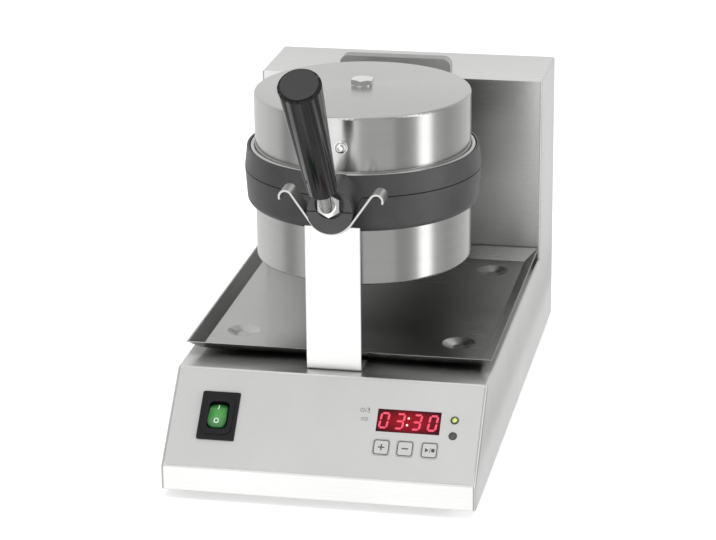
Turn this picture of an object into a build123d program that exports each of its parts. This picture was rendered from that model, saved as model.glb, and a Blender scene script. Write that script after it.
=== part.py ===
from build123d import *
import math
import os

# Rotating waffle maker: a bench housing with a rear column, and a round baking head of two
# heated plates that turns over about a front-to-back axis. X runs to the right, Y to the rear
# and Z up. While it is built, Y starts at the housing's front edge and Z at the table.

# Housing, folded from steel sheet
housing_width = 250.0
housing_depth = 455.0
strip_height = 19.2
panel_run = 61.5
base_height = 80.35
column_depth = 87.0
column_rise = 163.05
sheet = 1.2
bend_radius = 2.4
return_flange = 12.0
foot_height = 8.0
foot_radius = 11.0
foot_inset_x = 38.0
foot_inset_y = 48.0
rear_screw_low = 22.0
rear_screw_high = 16.0

# Baking head
axis_rise = 134.6
head_to_column = 170.0
ring_radius = 97.0
ring_draft = 2.0
cavity_inset = 9.0
upper_ring_height = 17.3
upper_cavity = 8.0
upper_web = 6.0
lower_ring_depth = 29.8
lower_cavity = 14.0
lower_web = 12.5
lower_corner = 6.0
rim_wall = 2.0
parting_gap = 0.7
stud_pitch = 20.0
stud_base = 13.0
stud_taper = 14.0
upper_stud = 5.0
lower_stud = 9.0
stud_margin = 3.0

# Head covers, spun from thin sheet
cover_inset = 8.5
cover_sheet = 1.0
cover_edge = 2.2
cover_dome = 3.4
upper_cover_top = 62.8
lower_cover_bottom = 75.9
bead_radius = 1.9
bead_gap = 0.2
seat_gap = 0.7
bolt_radius = 5.0
bolt_flats = 17.0
bolt_head = 4.2
bolt_ease = 1.4
bolt_depth = 10.0
bolt_washer_radius = 8.4
bolt_washer = 0.8
bolt_boss_radius = 11.0
bolt_boss_height = 12.0
side_screw_rise = 38.5
side_screw_head = 4.6
side_washer_lap = 0.4
side_screw_reach = 7.0
side_nut_flats = 8.0
side_nut_height = 4.0
side_nut_gap = 0.1
socket_flats = 4.0
socket_depth = 2.0
side_screw_radius = 2.5
side_washer_radius = 5.4
side_washer = 0.9

# Heating
heater_circle = 58.0
heater_tube = 4.0
heater_sink = 1.5
heater_sweep = 320.0
terminal_height = 14.0
wool_inset = 12.0
wool_gap = 1.0
wool_thickness = 18.0
sensor_radius = 3.0
sensor_x = -60.0
sensor_length = 34.0
sensor_stub = 4.0

# Split boss, handle and cradle at the front
boss_radius = 18.2
boss_reach = 38.0
handle_rise = 6.0
rod_radius = 5.0
rod_grip_gap = 25.5
rod_embed = 24.0
rod_front = 10.5
elbow_radius = 10.0
handle_angle = 54.2
grip_length = 124.2
grip_low_radius = 11.6
grip_top_radius = 16.6
grip_edge = 1.6
cap_thickness = 2.4
cap_radius = 14.2
cap_sink = 1.2
cap_edge = 0.6
rod_in_grip = 96.0
lock_nut_flats = 17.0
lock_nut_height = 8.0
lock_nut_ease = 0.8
nut_recess = 3.0
nut_recess_radius = 11.6
running_gap = 0.3
cradle_sheet = 1.7
cradle_width = 18.0
cradle_setback = 4.0
cradle_arm_angle = 55.0
cradle_arm_length = 28.0
curl_radius = 5.0
curl_angle = 170.0
post_width = 44.0
post_sheet = 2.0
post_setback = 9.0
post_drop = 15.0
post_foot = 22.0
post_stud_spacing = 26.0
post_stud_share = 0.6

# Hinge and turning shaft at the rear
hinge_back = 8.0
hinge_rise = 38.0
hinge_barrel = 8.0
hinge_pin_radius = 4.0
fit_clearance = 0.05
knuckle_width = 58.0
ear_width = 12.0
ear_gap = 0.4
yoke_height = 24.0
yoke_drop = 1.5
hub_radius = 21.0
hub_lap = 7.0
shaft_radius = 15.0
shaft_bore = 10.0
shaft_end_gap = 30.0
cross_pin_radius = 3.0
clip_thickness = 1.2
clip_radius = 7.0
clip_inset = 2.5
clip_groove = 0.8
pin_edge = 0.6
shaft_edge = 1.0
cross_pin_float = 0.5
cross_pin_sink = 0.8

# Bearing bracket on the column, which also stops the opened lid
bracket_width = 97.0
bracket_depth = 27.0
bracket_sheet = 3.0
bracket_top = 23.8
bracket_drop = 47.0
bracket_corner = 7.0
bracket_tab = 16.0
bracket_crest = 12.0
bracket_shoulder = 6.0
bracket_screw_rise = 10.0
bracket_screw_drop = 20.0
bush_wall = 4.0
bush_flange_radius = 25.0
bush_flange = 4.0
column_hole_gap = 5.0
inner_plate_offset = 37.0
inner_plate_half_height = 34.0
inner_plate_sheet = 3.0
collar_radius = 22.0
collar_width = 10.0
lug_reach = 34.0
lug_half_width = 4.0
stop_width = 9.0
stop_height = 9.0

# Drip tray
tray_sheet = 1.0
tray_lip_rise = 11.2
tray_floor_rise = 3.2
tray_flare = 11.0
tray_back_run = 19.0
tray_front_run = 10.0
tray_post_gap = 12.0
tray_column_gap = 1.0
tray_side_gap = 0.7
dimple_radius = 13.5
dimple_foot_radius = 5.0
dimple_side_inset = 24.5
dimple_end_inset = 42.0
tray_rest_gap = 0.2

# Control panel, on the sloping face: places are x and the distance up the slope
overlay_sheet = 0.5
overlay_side_margin = 2.5
overlay_end_margin = 2.0
switch_inset = 40.0
switch_s = 45.2
bezel_width = 30.5
bezel_length = 41.0
bezel_rise = 2.2
bezel_corner = 2.0
paddle_width = 17.0
paddle_length = 23.0
paddle_gap = 0.35
switch_body_width = 21.5
switch_body_length = 28.5
switch_body_depth = 22.0
switch_well_depth = 13.2
rocker_tilt = 8.0
rocker_pivot_depth = 3.0
rocker_radius = 19.0
paddle_crown = 1.4
paddle_skirt = 3.0
paddle_trim = 1.6
pivot_pin_radius = 1.5
blade_size = (4.8, 0.8, 8.0)
blade_places = (5.0, 7.0)
window_inset = 58.5
window_s = 51.0
window_width = 50.3
window_length = 19.2
window_thickness = 1.5
key_size = 13.2
key_corner = 2.0
key_rise = 0.4
key_gap = 0.3
key_s = 28.2
key_insets = {"key_minus": 58.6, "key_plus": 77.3, "key_start": 39.4}
key_travel = 0.3
key_float = 0.1
plunger_radius = 3.0
led_radius = 3.0
led_dome = 1.2
led_inset = 22.6
led_places = {"led_heat": 54.7, "led_ready": 41.5}
board_depth = 14.0
board_sheet = 1.6
board_width = 88.0
board_length = 56.0
board_inset = 56.0
board_s = 41.0
board_hole_inset = 5.0
chip_size = (14.0, 14.0, 4.8)
chip_place = (-18.0, -16.0)
plug_size = (22.0, 8.0, 9.0)
plug_place = (24.0, 16.0)
standoff_radius = 3.0
tact_size = 6.0
tact_height = 4.0

# Electrical pieces in the base
power_board_size = (110.0, 90.0)
power_board_y = 190.0
power_board_inset = 85.0
standoff_height = 8.0
relay_size = (29.0, 13.0, 26.0)
relay_place = (-30.0, -20.0)
transformer_size = (44.0, 38.0, 32.0)
transformer_place = (18.0, 12.0)
terminal_size = (52.0, 22.0, 20.0)
terminal_shift = 20.0
terminal_back = 60.0
wire_entry_radius = 2.4
thermostat_radius = 16.0
thermostat_height = 28.0
thermostat_neck = 8.0
thermostat_inset = 65.0
gland_inset = 50.0
gland_z = 42.0
gland_thread = 10.0
gland_bore = 4.2
gland_flats = 24.0
gland_collar = 7.0
gland_dome = 13.0
gland_inside = 12.0
gland_nut_height = 6.0

# Small fasteners
screw_radius = 2.0
screw_head_radius = 3.8
screw_head_height = 2.2
screw_length = 9.0
screw_clearance = 0.2
nut_flats = 7.0
nut_height = 3.2
vent_width = 4.0
vent_length = 34.0
vent_pitch = 9.0
vent_count = 8
vent_drops = (30.0, 80.0)
floor_vent_share = 0.62
overshoot = 5.0

# Places worked out from the sizes above
bottom_z = foot_height
floor_z = bottom_z + 2 * sheet
top_z = foot_height + base_height
column_top_z = top_z + column_rise
strip_z = foot_height + strip_height
column_y = housing_depth - column_depth
half_width = housing_width / 2
switch_x = switch_inset - half_width
window_x = half_width - window_inset
key_places = {name: half_width - inset for name, inset in key_insets.items()}
led_x = half_width - led_inset
board_x = half_width - board_inset
thermostat_x = half_width - thermostat_inset
gland_x = gland_inset - half_width
power_board_x = power_board_inset - half_width
terminal_x = gland_x + terminal_shift
terminal_y = housing_depth - terminal_back
axis_z = top_z + axis_rise
head_y = column_y - head_to_column
ring_front_y = head_y - ring_radius
ring_back_y = head_y + ring_radius
boss_y = ring_front_y - boss_reach
post_y = boss_y + post_setback
hinge_y = ring_back_y + hinge_back
hinge_z = axis_z + hinge_rise
bracket_y = column_y - bracket_depth
hub_end_y = bracket_y - bush_flange - running_gap
shaft_start_y = hinge_y + hinge_barrel + 2.0
inner_plate_y = column_y + inner_plate_offset
shaft_end_y = housing_depth - shaft_end_gap
slope = math.atan2(top_z - strip_z, panel_run)
slope_length = math.hypot(panel_run, top_z - strip_z)
cavity_radius = ring_radius - cavity_inset
cover_radius = ring_radius - cover_inset
wool_radius = cavity_radius - wool_inset
seat_radius = cover_radius + seat_gap
head_centre = Pos(0, head_y, axis_z)
sensor_z = axis_z - lower_cavity - lower_web / 2


def block(low, high):
    """Box between two opposite corners."""
    size = [b - a for a, b in zip(low, high)]
    middle = [(a + b) / 2 for a, b in zip(low, high)]
    return Pos(*middle) * Box(*size)


def rod_y(radius, start, end, x=0.0, z=0.0):
    """Round bar that runs along Y."""
    return Pos(x, (start + end) / 2, z) * Rot(90, 0, 0) * Cylinder(radius, end - start)


def rod_x(radius, start, end, y=0.0, z=0.0):
    """Round bar that runs along X."""
    return Pos((start + end) / 2, y, z) * Rot(0, 90, 0) * Cylinder(radius, end - start)


def rod_z(radius, start, end, x=0.0, y=0.0):
    """Round bar that runs along Z."""
    return Pos(x, y, (start + end) / 2) * Cylinder(radius, end - start)


def hexagon_bar(flats, length):
    """Hexagonal prism that stands on the origin, measured across its flats."""
    return extrude(RegularPolygon(flats / math.sqrt(3), 6), length)


def pan_screw(length=screw_length):
    """Small screw whose head stands up from the origin and whose shank points down."""
    head = extrude(Circle(screw_head_radius), screw_head_height)
    head = chamfer(head.edges().group_by(Axis.Z)[-1], screw_head_height / 3)
    slot = Pos(0, 0, screw_head_height) * Box(screw_head_radius * 1.3, 0.8, 1.2)
    cross = Pos(0, 0, screw_head_height) * Box(0.8, screw_head_radius * 1.3, 1.2)
    shank = Pos(0, 0, -length / 2) * Cylinder(screw_radius, length)
    return head - slot - cross + shank


def hexagon_nut(flats=nut_flats, height=nut_height, radius=screw_radius + screw_clearance):
    """Nut that stands on the origin, with its hole open."""
    return hexagon_bar(flats, height) - Pos(0, 0, height / 2) * Cylinder(radius, height * 2)


def turned(points):
    """Solid turned about Z from an outline of radius and height pairs."""
    return revolve(Plane.XZ * make_face(Polyline(*points, close=True)), Axis.Z)


def on_panel(x, s, depth=0.0):
    """Place on the sloping panel: X stays, Y runs up the slope, Z points out of it."""
    y = s * math.cos(slope) + depth * math.sin(slope)
    z = strip_z + s * math.sin(slope) - depth * math.cos(slope)
    return Pos(x, y, z) * Rot(math.degrees(slope), 0, 0)


def housing_outline(inset, ends):
    """Side view of the housing, moved inwards, with its open bottom and back moved out by ends."""
    slope_shift = inset * (1 - math.sin(slope)) / math.cos(slope)
    low_z = strip_z - inset * math.cos(slope) + slope_shift * math.sin(slope)
    rise = top_z - strip_z - inset + inset * math.cos(slope)
    crest_y = inset * math.sin(slope) + rise / math.tan(slope)
    return [
        (inset, bottom_z - ends),
        (inset, low_z),
        (crest_y, top_z - inset),
        (column_y + inset, top_z - inset),
        (column_y + inset, column_top_z - inset),
        (housing_depth + ends, column_top_z - inset),
        (housing_depth + ends, bottom_z - ends),
    ]


def housing_block(inset, ends, radius):
    """Solid of the housing's outline across its width, with rounded folds."""
    outline = make_face(Polyline(*housing_outline(inset, ends), close=True))
    width = housing_width - 2 * inset
    solid = extrude(Plane.YZ * outline, width / 2, both=True)
    side_edges = []
    for side in (-1, 1):
        face_edges = solid.edges().filter_by_position(
            Axis.X, side * width / 2 - 0.01, side * width / 2 + 0.01
        )
        for edge in face_edges:
            place = edge.center()
            outer_bottom = place.Z < bottom_z - ends + 0.01
            outer_back = place.Y > housing_depth + ends - 0.01
            if not outer_bottom and not outer_back:
                side_edges.append(edge)
    return fillet(side_edges, radius)


def feature_holes():
    """Openings in the sloping panel for the switch, the display, the keys and the lamps."""
    tall = 4 * sheet
    holes = [on_panel(switch_x, switch_s) * Box(switch_body_width, switch_body_length, tall)]
    holes.append(on_panel(window_x, window_s) * Box(window_width, window_length, tall))
    for x in key_places.values():
        holes.append(on_panel(x, key_s) * Cylinder(plunger_radius + key_gap, tall))
    for s in led_places.values():
        holes.append(on_panel(led_x, s) * Cylinder(led_radius + screw_clearance, tall))
    return holes


def post_stud_places():
    """Two studs that hold the post's foot to the top plate."""
    y = post_y + post_foot * post_stud_share
    return [(side * post_stud_spacing / 2, y) for side in (-1, 1)]


def bracket_screw_places():
    """Four screws through the bracket's tabs into the column."""
    x = bracket_width / 2 - bracket_sheet - bracket_tab / 2
    low = axis_z - bracket_drop + bracket_screw_rise
    high = column_top_z - bracket_screw_drop
    return [(side * x, z) for side in (-1, 1) for z in (low, high)]


def rear_screw_places():
    """Screws of the rear panel, down both return flanges."""
    x = half_width - sheet - return_flange / 2
    low = bottom_z + rear_screw_low
    high = column_top_z - rear_screw_high
    heights = [low + (high - low) * step / 3 for step in range(4)]
    return [(side * x, z) for side in (-1, 1) for z in heights]


def base_shell():
    """Folded housing: front strip, sloping panel, top plate, column and both sides."""
    shell = housing_block(0, 0, bend_radius) - housing_block(sheet, overshoot, bend_radius - sheet)
    flange_y = housing_depth - 2 * sheet
    for side in (-1, 1):
        inner = side * (half_width - sheet - return_flange)
        outer = side * (half_width - sheet / 2)
        low_x, high_x = sorted((inner, outer))
        shell += block((low_x, flange_y, bottom_z), (high_x, flange_y + sheet, column_top_z - bend_radius))
        shell += block((low_x, 2 * sheet, bottom_z), (high_x, flange_y + sheet, bottom_z + sheet))
    shell -= feature_holes()
    for x, y in post_stud_places():
        shell -= rod_z(screw_radius + screw_clearance, top_z - 3 * sheet, top_z + sheet, x, y)
    for x, z in bracket_screw_places():
        shell -= rod_y(screw_radius + screw_clearance, column_y - sheet, column_y + 3 * sheet, x, z)
    for x, z in rear_screw_places():
        shell -= rod_y(screw_radius + screw_clearance, flange_y - sheet, housing_depth, x, z)
    for x, y in bottom_screw_places():
        shell -= rod_z(screw_radius + screw_clearance, bottom_z - sheet, bottom_z + 2 * sheet, x, y)
    hole_radius = shaft_radius + column_hole_gap
    return shell - rod_y(hole_radius, column_y - sheet, column_y + 3 * sheet, 0, axis_z)


def bottom_screw_places():
    """Screws that hold the floor pan to the housing's bottom flanges."""
    x = half_width - sheet - return_flange / 2
    return [(side * x, housing_depth * share) for side in (-1, 1) for share in (0.2, 0.5, 0.8)]


def slot_row(count, pitch, width, length, depth):
    """Row of rounded ventilation slots side by side along X, cut along Z."""
    slots = []
    for step in range(count):
        x = (step - (count - 1) / 2) * pitch
        outline = Pos(x, 0, 0) * Rot(0, 0, 90) * SlotOverall(length, width)
        slots.append(extrude(outline, depth / 2, both=True))
    return slots


def foot_places():
    """Centres of the four feet."""
    x = half_width - foot_inset_x
    return {
        "foot_front_left": (-x, foot_inset_y),
        "foot_front_right": (x, foot_inset_y),
        "foot_rear_left": (-x, housing_depth - foot_inset_y),
        "foot_rear_right": (x, housing_depth - foot_inset_y),
    }


def bottom_plate():
    """Floor pan on the housing's bottom flanges, with upturned edges and ventilation slots."""
    half = half_width - sheet
    back = housing_depth - 2 * sheet
    pan = block((-half, sheet, floor_z - sheet), (half, back, floor_z + return_flange))
    pan = fillet(pan.edges().filter_by(Axis.Z), bend_radius)
    tray_top = floor_z + 2 * return_flange
    pan -= block((-half + sheet, 2 * sheet, floor_z), (half - sheet, back - sheet, tray_top))
    for x, y in bottom_screw_places():
        pan -= rod_z(screw_radius, bottom_z, floor_z + sheet, x, y)
    for x, y in foot_places().values():
        pan -= rod_z(screw_radius + screw_clearance, bottom_z, floor_z + sheet, x, y)
    slots = slot_row(vent_count, vent_pitch, vent_width, vent_length, 4 * sheet)
    place = Pos(0, housing_depth * floor_vent_share, floor_z - sheet / 2)
    return pan - [place * slot for slot in slots]


def rear_panel():
    """Back cover of base and column, with ventilation slots and the cord entry."""
    panel = block(
        (-half_width + sheet, housing_depth - sheet, bottom_z),
        (half_width - sheet, housing_depth, column_top_z - bend_radius),
    )
    for x, z in rear_screw_places():
        hole_start = housing_depth - 2 * sheet
        panel -= rod_y(screw_radius + screw_clearance, hole_start, housing_depth + sheet, x, z)
    for drop in vent_drops:
        place = Pos(0, housing_depth - sheet / 2, axis_z - drop) * Rot(90, 0, 0)
        slots = slot_row(vent_count, vent_pitch, vent_width, vent_length, 4 * sheet)
        panel -= [place * slot for slot in slots]
    return panel - rod_y(
        gland_thread + screw_clearance,
        housing_depth - 3 * sheet,
        housing_depth + sheet,
        gland_x,
        gland_z,
    )


def case_screws():
    """Pan-head screws of the rear panel, the floor pan and the bearing bracket."""
    back = Rot(-90, 0, 0)
    screws = [Pos(x, housing_depth, z) * back * pan_screw() for x, z in rear_screw_places()]
    screws += [Pos(x, y, bottom_z) * Rot(180, 0, 0) * pan_screw() for x, y in bottom_screw_places()]
    length = bracket_sheet + sheet + nut_height + 1.0
    front = Rot(90, 0, 0)
    screws += [
        Pos(x, column_y - bracket_sheet, z) * front * pan_screw(length) for x, z in bracket_screw_places()
    ]
    return screws


def rubber_foot(x, y):
    """Rubber foot with a bonded stud that passes through the floor pan."""
    foot = rod_z(foot_radius, 0, floor_z - sheet, x, y)
    foot = chamfer(foot.edges().group_by(Axis.Z)[0], foot_height / 6)
    return foot + rod_z(screw_radius, foot_height - 1.0, floor_z + nut_height + 2.0, x, y)


def case_nuts():
    """Nuts on the studs of the feet and the post and on the bracket's screws."""
    nuts = [Pos(x, y, floor_z) * hexagon_nut() for x, y in foot_places().values()]
    low = top_z - sheet - nut_height
    nuts += [Pos(x, y, low) * hexagon_nut() for x, y in post_stud_places()]
    turn = Rot(-90, 0, 0)
    nuts += [Pos(x, column_y + sheet, z) * turn * hexagon_nut() for x, z in bracket_screw_places()]
    return nuts


def control_overlay():
    """Printed foil on the sloping panel, cut out for the switch, display, keys and lamps."""
    width = housing_width - 2 * overlay_side_margin
    length = slope_length - 2 * overlay_end_margin
    outline = RectangleRounded(width, length, key_corner)
    foil = on_panel(0, slope_length / 2) * extrude(outline, overlay_sheet)
    cuts = [on_panel(switch_x, switch_s) * Box(bezel_width, bezel_length, 4 * sheet)]
    cuts.append(on_panel(window_x, window_s) * Box(window_width, window_length, 4 * sheet))
    opening = key_size + 2 * key_gap
    for x in key_places.values():
        pad = extrude(RectangleRounded(opening, opening, key_corner + key_gap), 2 * sheet, both=True)
        cuts.append(on_panel(x, key_s) * pad)
    for s in led_places.values():
        cuts.append(on_panel(led_x, s) * Cylinder(led_radius + screw_clearance, 4 * sheet))
    return foil - cuts


def display_window():
    """Tinted window, flush with the foil, over the figures."""
    pane = Box(window_width, window_length, window_thickness, align=(Align.CENTER, Align.CENTER, Align.MAX))
    return on_panel(window_x, window_s) * Pos(0, 0, overlay_sheet) * pane


def display_module():
    """Four-figure display block between the window and the control board."""
    thickness = board_depth - (window_thickness - overlay_sheet)
    body = Box(window_width, window_length, thickness, align=(Align.CENTER, Align.CENTER, Align.MIN))
    return on_panel(window_x, window_s, board_depth) * body


def board_standoff_places():
    """Corners of the control board, as x and distance up the slope."""
    x = board_width / 2 - board_hole_inset
    s = board_length / 2 - board_hole_inset
    return [(board_x + a * x, board_s + b * s) for a in (-1, 1) for b in (-1, 1)]


def control_board():
    """Circuit board that carries display, keys and lamps, parallel to the panel."""
    board = Box(board_width, board_length, board_sheet, align=(Align.CENTER, Align.CENTER, Align.MAX))
    for size, (x, y) in ((chip_size, chip_place), (plug_size, plug_place)):
        board += Pos(x, y, -board_sheet) * Box(*size, align=(Align.CENTER, Align.CENTER, Align.MAX))
    return on_panel(board_x, board_s, board_depth) * board


def panel_standoffs():
    """Weld studs between the sloping panel and the control board."""
    length = board_depth - sheet
    pillar = Cylinder(standoff_radius, length, align=(Align.CENTER, Align.CENTER, Align.MIN))
    return [on_panel(x, s, board_depth) * pillar for x, s in board_standoff_places()]


def tact_switches():
    """Small push switches on the control board, one under each key."""
    body = Box(tact_size, tact_size, tact_height, align=(Align.CENTER, Align.CENTER, Align.MIN))
    return [on_panel(x, key_s, board_depth) * body for x in key_places.values()]


def key(x):
    """Key cap that stands just above the foil, with a plunger down to its switch."""
    under = key_travel + key_float
    cap = extrude(RectangleRounded(key_size, key_size, key_corner), overlay_sheet + key_rise - under)
    cap = Pos(0, 0, under) * fillet(cap.edges().group_by(Axis.Z)[-1], key_rise / 2)
    reach = board_depth - tact_height - key_travel - key_gap
    plunger = Pos(0, 0, -reach) * Cylinder(
        plunger_radius, reach + under + key_rise / 2, align=(Align.CENTER, Align.CENTER, Align.MIN)
    )
    return on_panel(x, key_s) * (cap + plunger)


def indicator_lamp(s):
    """Lamp lens with a domed top and a stem down to the control board."""
    stem = Cylinder(led_radius, board_depth + overlay_sheet, align=(Align.CENTER, Align.CENTER, Align.MAX))
    dome_radius = (led_radius**2 + led_dome**2) / (2 * led_dome)
    dome = Pos(0, 0, led_dome - dome_radius) * Sphere(dome_radius)
    dome &= Cylinder(led_radius, led_dome, align=(Align.CENTER, Align.CENTER, Align.MIN))
    return on_panel(led_x, s) * Pos(0, 0, overlay_sheet) * (stem + dome)


def switch_bezel():
    """Black frame and body of the mains switch, open at the front for its paddle."""
    frame = extrude(RectangleRounded(bezel_width, bezel_length, bezel_corner), bezel_rise)
    frame = fillet(frame.edges().group_by(Axis.Z)[-1], bezel_rise / 3)
    body = Box(
        switch_body_width - 2 * key_gap,
        switch_body_length - 2 * key_gap,
        switch_body_depth,
        align=(Align.CENTER, Align.CENTER, Align.MAX),
    )
    well = Box(
        paddle_width + 2 * paddle_gap,
        paddle_length + 2 * paddle_gap,
        switch_body_depth,
        align=(Align.CENTER, Align.CENTER, Align.MIN),
    )
    well = Pos(0, 0, -switch_well_depth) * well
    pin = Pos(0, 0, -rocker_pivot_depth) * rod_x(
        pivot_pin_radius, -switch_body_width / 2 + 1.0, switch_body_width / 2 - 1.0
    )
    tabs = [
        Pos(a * blade_places[0], b * blade_places[1], -switch_body_depth)
        * Box(*blade_size, align=(Align.CENTER, Align.CENTER, Align.MAX))
        for a in (-1, 1)
        for b in (-1, 1)
    ]
    return on_panel(switch_x, switch_s) * (frame + body + tabs - well + pin)


def rocker_paddle():
    """Green paddle of the mains switch, shown pressed at its upper end."""
    crown = bezel_rise + paddle_crown
    disc = Pos(0, 0, crown - rocker_radius) * rod_x(rocker_radius, -paddle_width / 2, paddle_width / 2)
    depth = crown + rocker_pivot_depth + paddle_skirt
    trim = Pos(0, 0, crown) * Box(
        paddle_width, paddle_length - paddle_trim, depth, align=(Align.CENTER, Align.CENTER, Align.MAX)
    )
    bore = rod_x(pivot_pin_radius + fit_clearance, -paddle_width, paddle_width)
    paddle = (disc & trim) - Pos(0, 0, -rocker_pivot_depth) * bore
    tilt = Pos(0, 0, -rocker_pivot_depth) * Rot(-rocker_tilt, 0, 0) * Pos(0, 0, rocker_pivot_depth)
    return on_panel(switch_x, switch_s) * tilt * paddle


def board_on_floor(size, x, y):
    """Circuit board that stands on pillars above the floor pan."""
    z = floor_z + standoff_height
    return block((x - size[0] / 2, y - size[1] / 2, z), (x + size[0] / 2, y + size[1] / 2, z + board_sheet))


def power_board_places():
    """Corners of the power board where its pillars stand."""
    x = power_board_size[0] / 2 - board_hole_inset
    y = power_board_size[1] / 2 - board_hole_inset
    return [(power_board_x + a * x, power_board_y + b * y) for a in (-1, 1) for b in (-1, 1)]


def power_standoffs():
    """Pillars between the floor pan and the power board."""
    top = floor_z + standoff_height
    return [rod_z(standoff_radius, floor_z, top, x, y) for x, y in power_board_places()]


def seated_block(size, x, y, z):
    """Plain component body that stands at a height, with its vertical edges eased."""
    body = Pos(x, y, z + size[2] / 2) * Box(*size)
    return chamfer(body.edges().filter_by(Axis.Z), 1.0)


def power_components():
    """Relay and transformer that stand on the power board."""
    board_top = floor_z + standoff_height + board_sheet
    places = ((relay_size, relay_place), (transformer_size, transformer_place))
    return [seated_block(size, power_board_x + x, power_board_y + y, board_top) for size, (x, y) in places]


def terminal_block():
    """Mains terminal block on the floor pan, with its row of wire entries."""
    body = seated_block(terminal_size, terminal_x, terminal_y, floor_z)
    pitch = terminal_size[0] / 4
    for step in range(3):
        x = terminal_x + (step - 1) * pitch
        low = floor_z + terminal_size[2] / 2
        body -= rod_z(wire_entry_radius, low, low + terminal_size[2], x, terminal_y)
    return body


def safety_thermostat():
    """Over-temperature cut-out that stands on the floor pan."""
    top = floor_z + thermostat_height
    body = rod_z(thermostat_radius, floor_z, top, thermostat_x, power_board_y)
    neck = rod_z(thermostat_radius / 2, floor_z, top + thermostat_neck, thermostat_x, power_board_y)
    return body + neck


def cord_gland():
    """Gland in the rear panel, with a clear bore for the supply cord."""
    face = housing_depth
    turn = Pos(gland_x, face, gland_z) * Rot(-90, 0, 0)
    collar = turn * hexagon_bar(gland_flats, gland_collar)
    dome_start = face + gland_collar
    dome = rod_y(gland_flats / 2 - 1.0, dome_start, dome_start + gland_dome, gland_x, gland_z)
    dome = fillet(dome.edges().group_by(Axis.Y)[-1], gland_dome / 3)
    thread = rod_y(gland_thread, face - sheet - gland_inside, face + 1.0, gland_x, gland_z)
    bore = rod_y(gland_bore, face - 2 * gland_inside, face + 2 * gland_dome, gland_x, gland_z)
    return collar + dome + thread - bore


def gland_nut():
    """Lock nut of the gland, inside the rear panel."""
    place = Pos(gland_x, housing_depth - sheet, gland_z) * Rot(90, 0, 0)
    return place * hexagon_nut(gland_flats, gland_nut_height, gland_thread)


def studs(height, root_z):
    """Tapered square studs that hang from a waffle plate, on a square pitch inside the cavity."""
    count = int(cavity_radius / stud_pitch) + 1
    reach = cavity_radius - stud_margin - stud_base / math.sqrt(2)
    shape = extrude(Rectangle(stud_base, stud_base), height + 1.0, taper=stud_taper)
    turn = Pos(0, 0, root_z + 1.0) * Rot(180, 0, 0)
    placed = []
    for i in range(-count, count):
        for j in range(-count, count):
            x = (i + 0.5) * stud_pitch
            y = (j + 0.5) * stud_pitch
            if math.hypot(x, y) < reach:
                placed.append(Pos(x, y, 0) * turn * shape)
    return placed


def half_boss(side):
    """Half of the round boss at the front, above (1) or below (-1) the parting plane."""
    boss = rod_y(boss_radius, boss_y, ring_front_y + rim_wall * 4, 0, axis_z)
    low = axis_z + parting_gap / 2
    span = (-2 * boss_radius, boss_y - 1, low), (2 * boss_radius, head_y, low + 2 * boss_radius)
    keep = block(*span)
    if side < 0:
        keep = Pos(0, 0, -parting_gap - 2 * boss_radius) * keep
    nut_seat = rod_y(nut_recess_radius, boss_y - 1, boss_y + nut_recess, 0, axis_z + handle_rise)
    stud_hole = rod_y(rod_radius, boss_y - 1, boss_y + rod_embed, 0, axis_z + handle_rise)
    groove_radius = ring_radius - ring_draft - rim_wall
    groove = Pos(0, head_y, axis_z)
    rim_groove = groove * rod_z(groove_radius, upper_cavity + upper_web, 2 * boss_radius)
    inside = groove * rod_z(seat_radius, -2 * boss_radius, 2 * boss_radius)
    return (boss & keep) - nut_seat - stud_hole - rim_groove - inside


def upper_casting():
    """Rim of the upper half, with its half boss and hinge knuckle."""
    back = upper_cavity + upper_web
    body = turned([
        (cavity_radius, parting_gap / 2),
        (ring_radius, parting_gap / 2),
        (ring_radius - ring_draft, upper_ring_height),
        (ring_radius - ring_draft - rim_wall, upper_ring_height),
        (ring_radius - ring_draft - rim_wall, back),
        (seat_radius, back),
        (seat_radius, upper_cavity),
        (cavity_radius, upper_cavity),
    ])
    casting = head_centre * body + half_boss(1)
    half = knuckle_width / 2
    low = axis_z + parting_gap / 2
    web = block((-half, head_y, low), (half, hinge_y, axis_z + back))
    web -= Pos(0, head_y, axis_z) * rod_z(seat_radius, 0, back + 1)
    web += block((-half, hinge_y - hinge_barrel, low), (half, hinge_y, hinge_z))
    web += rod_x(hinge_barrel, -half, half, hinge_y, hinge_z)
    web -= Pos(0, head_y, 0) * rod_z(ring_radius - ring_draft - rim_wall, low + back, hinge_z * 2)
    casting += web
    return casting - rod_x(hinge_pin_radius + fit_clearance, -housing_width, housing_width, hinge_y, hinge_z)


def ear_places():
    """Inner and outer X of the two hinge ears."""
    inner = knuckle_width / 2 + ear_gap
    return [(-inner - ear_width, -inner), (inner, inner + ear_width)]


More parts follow.
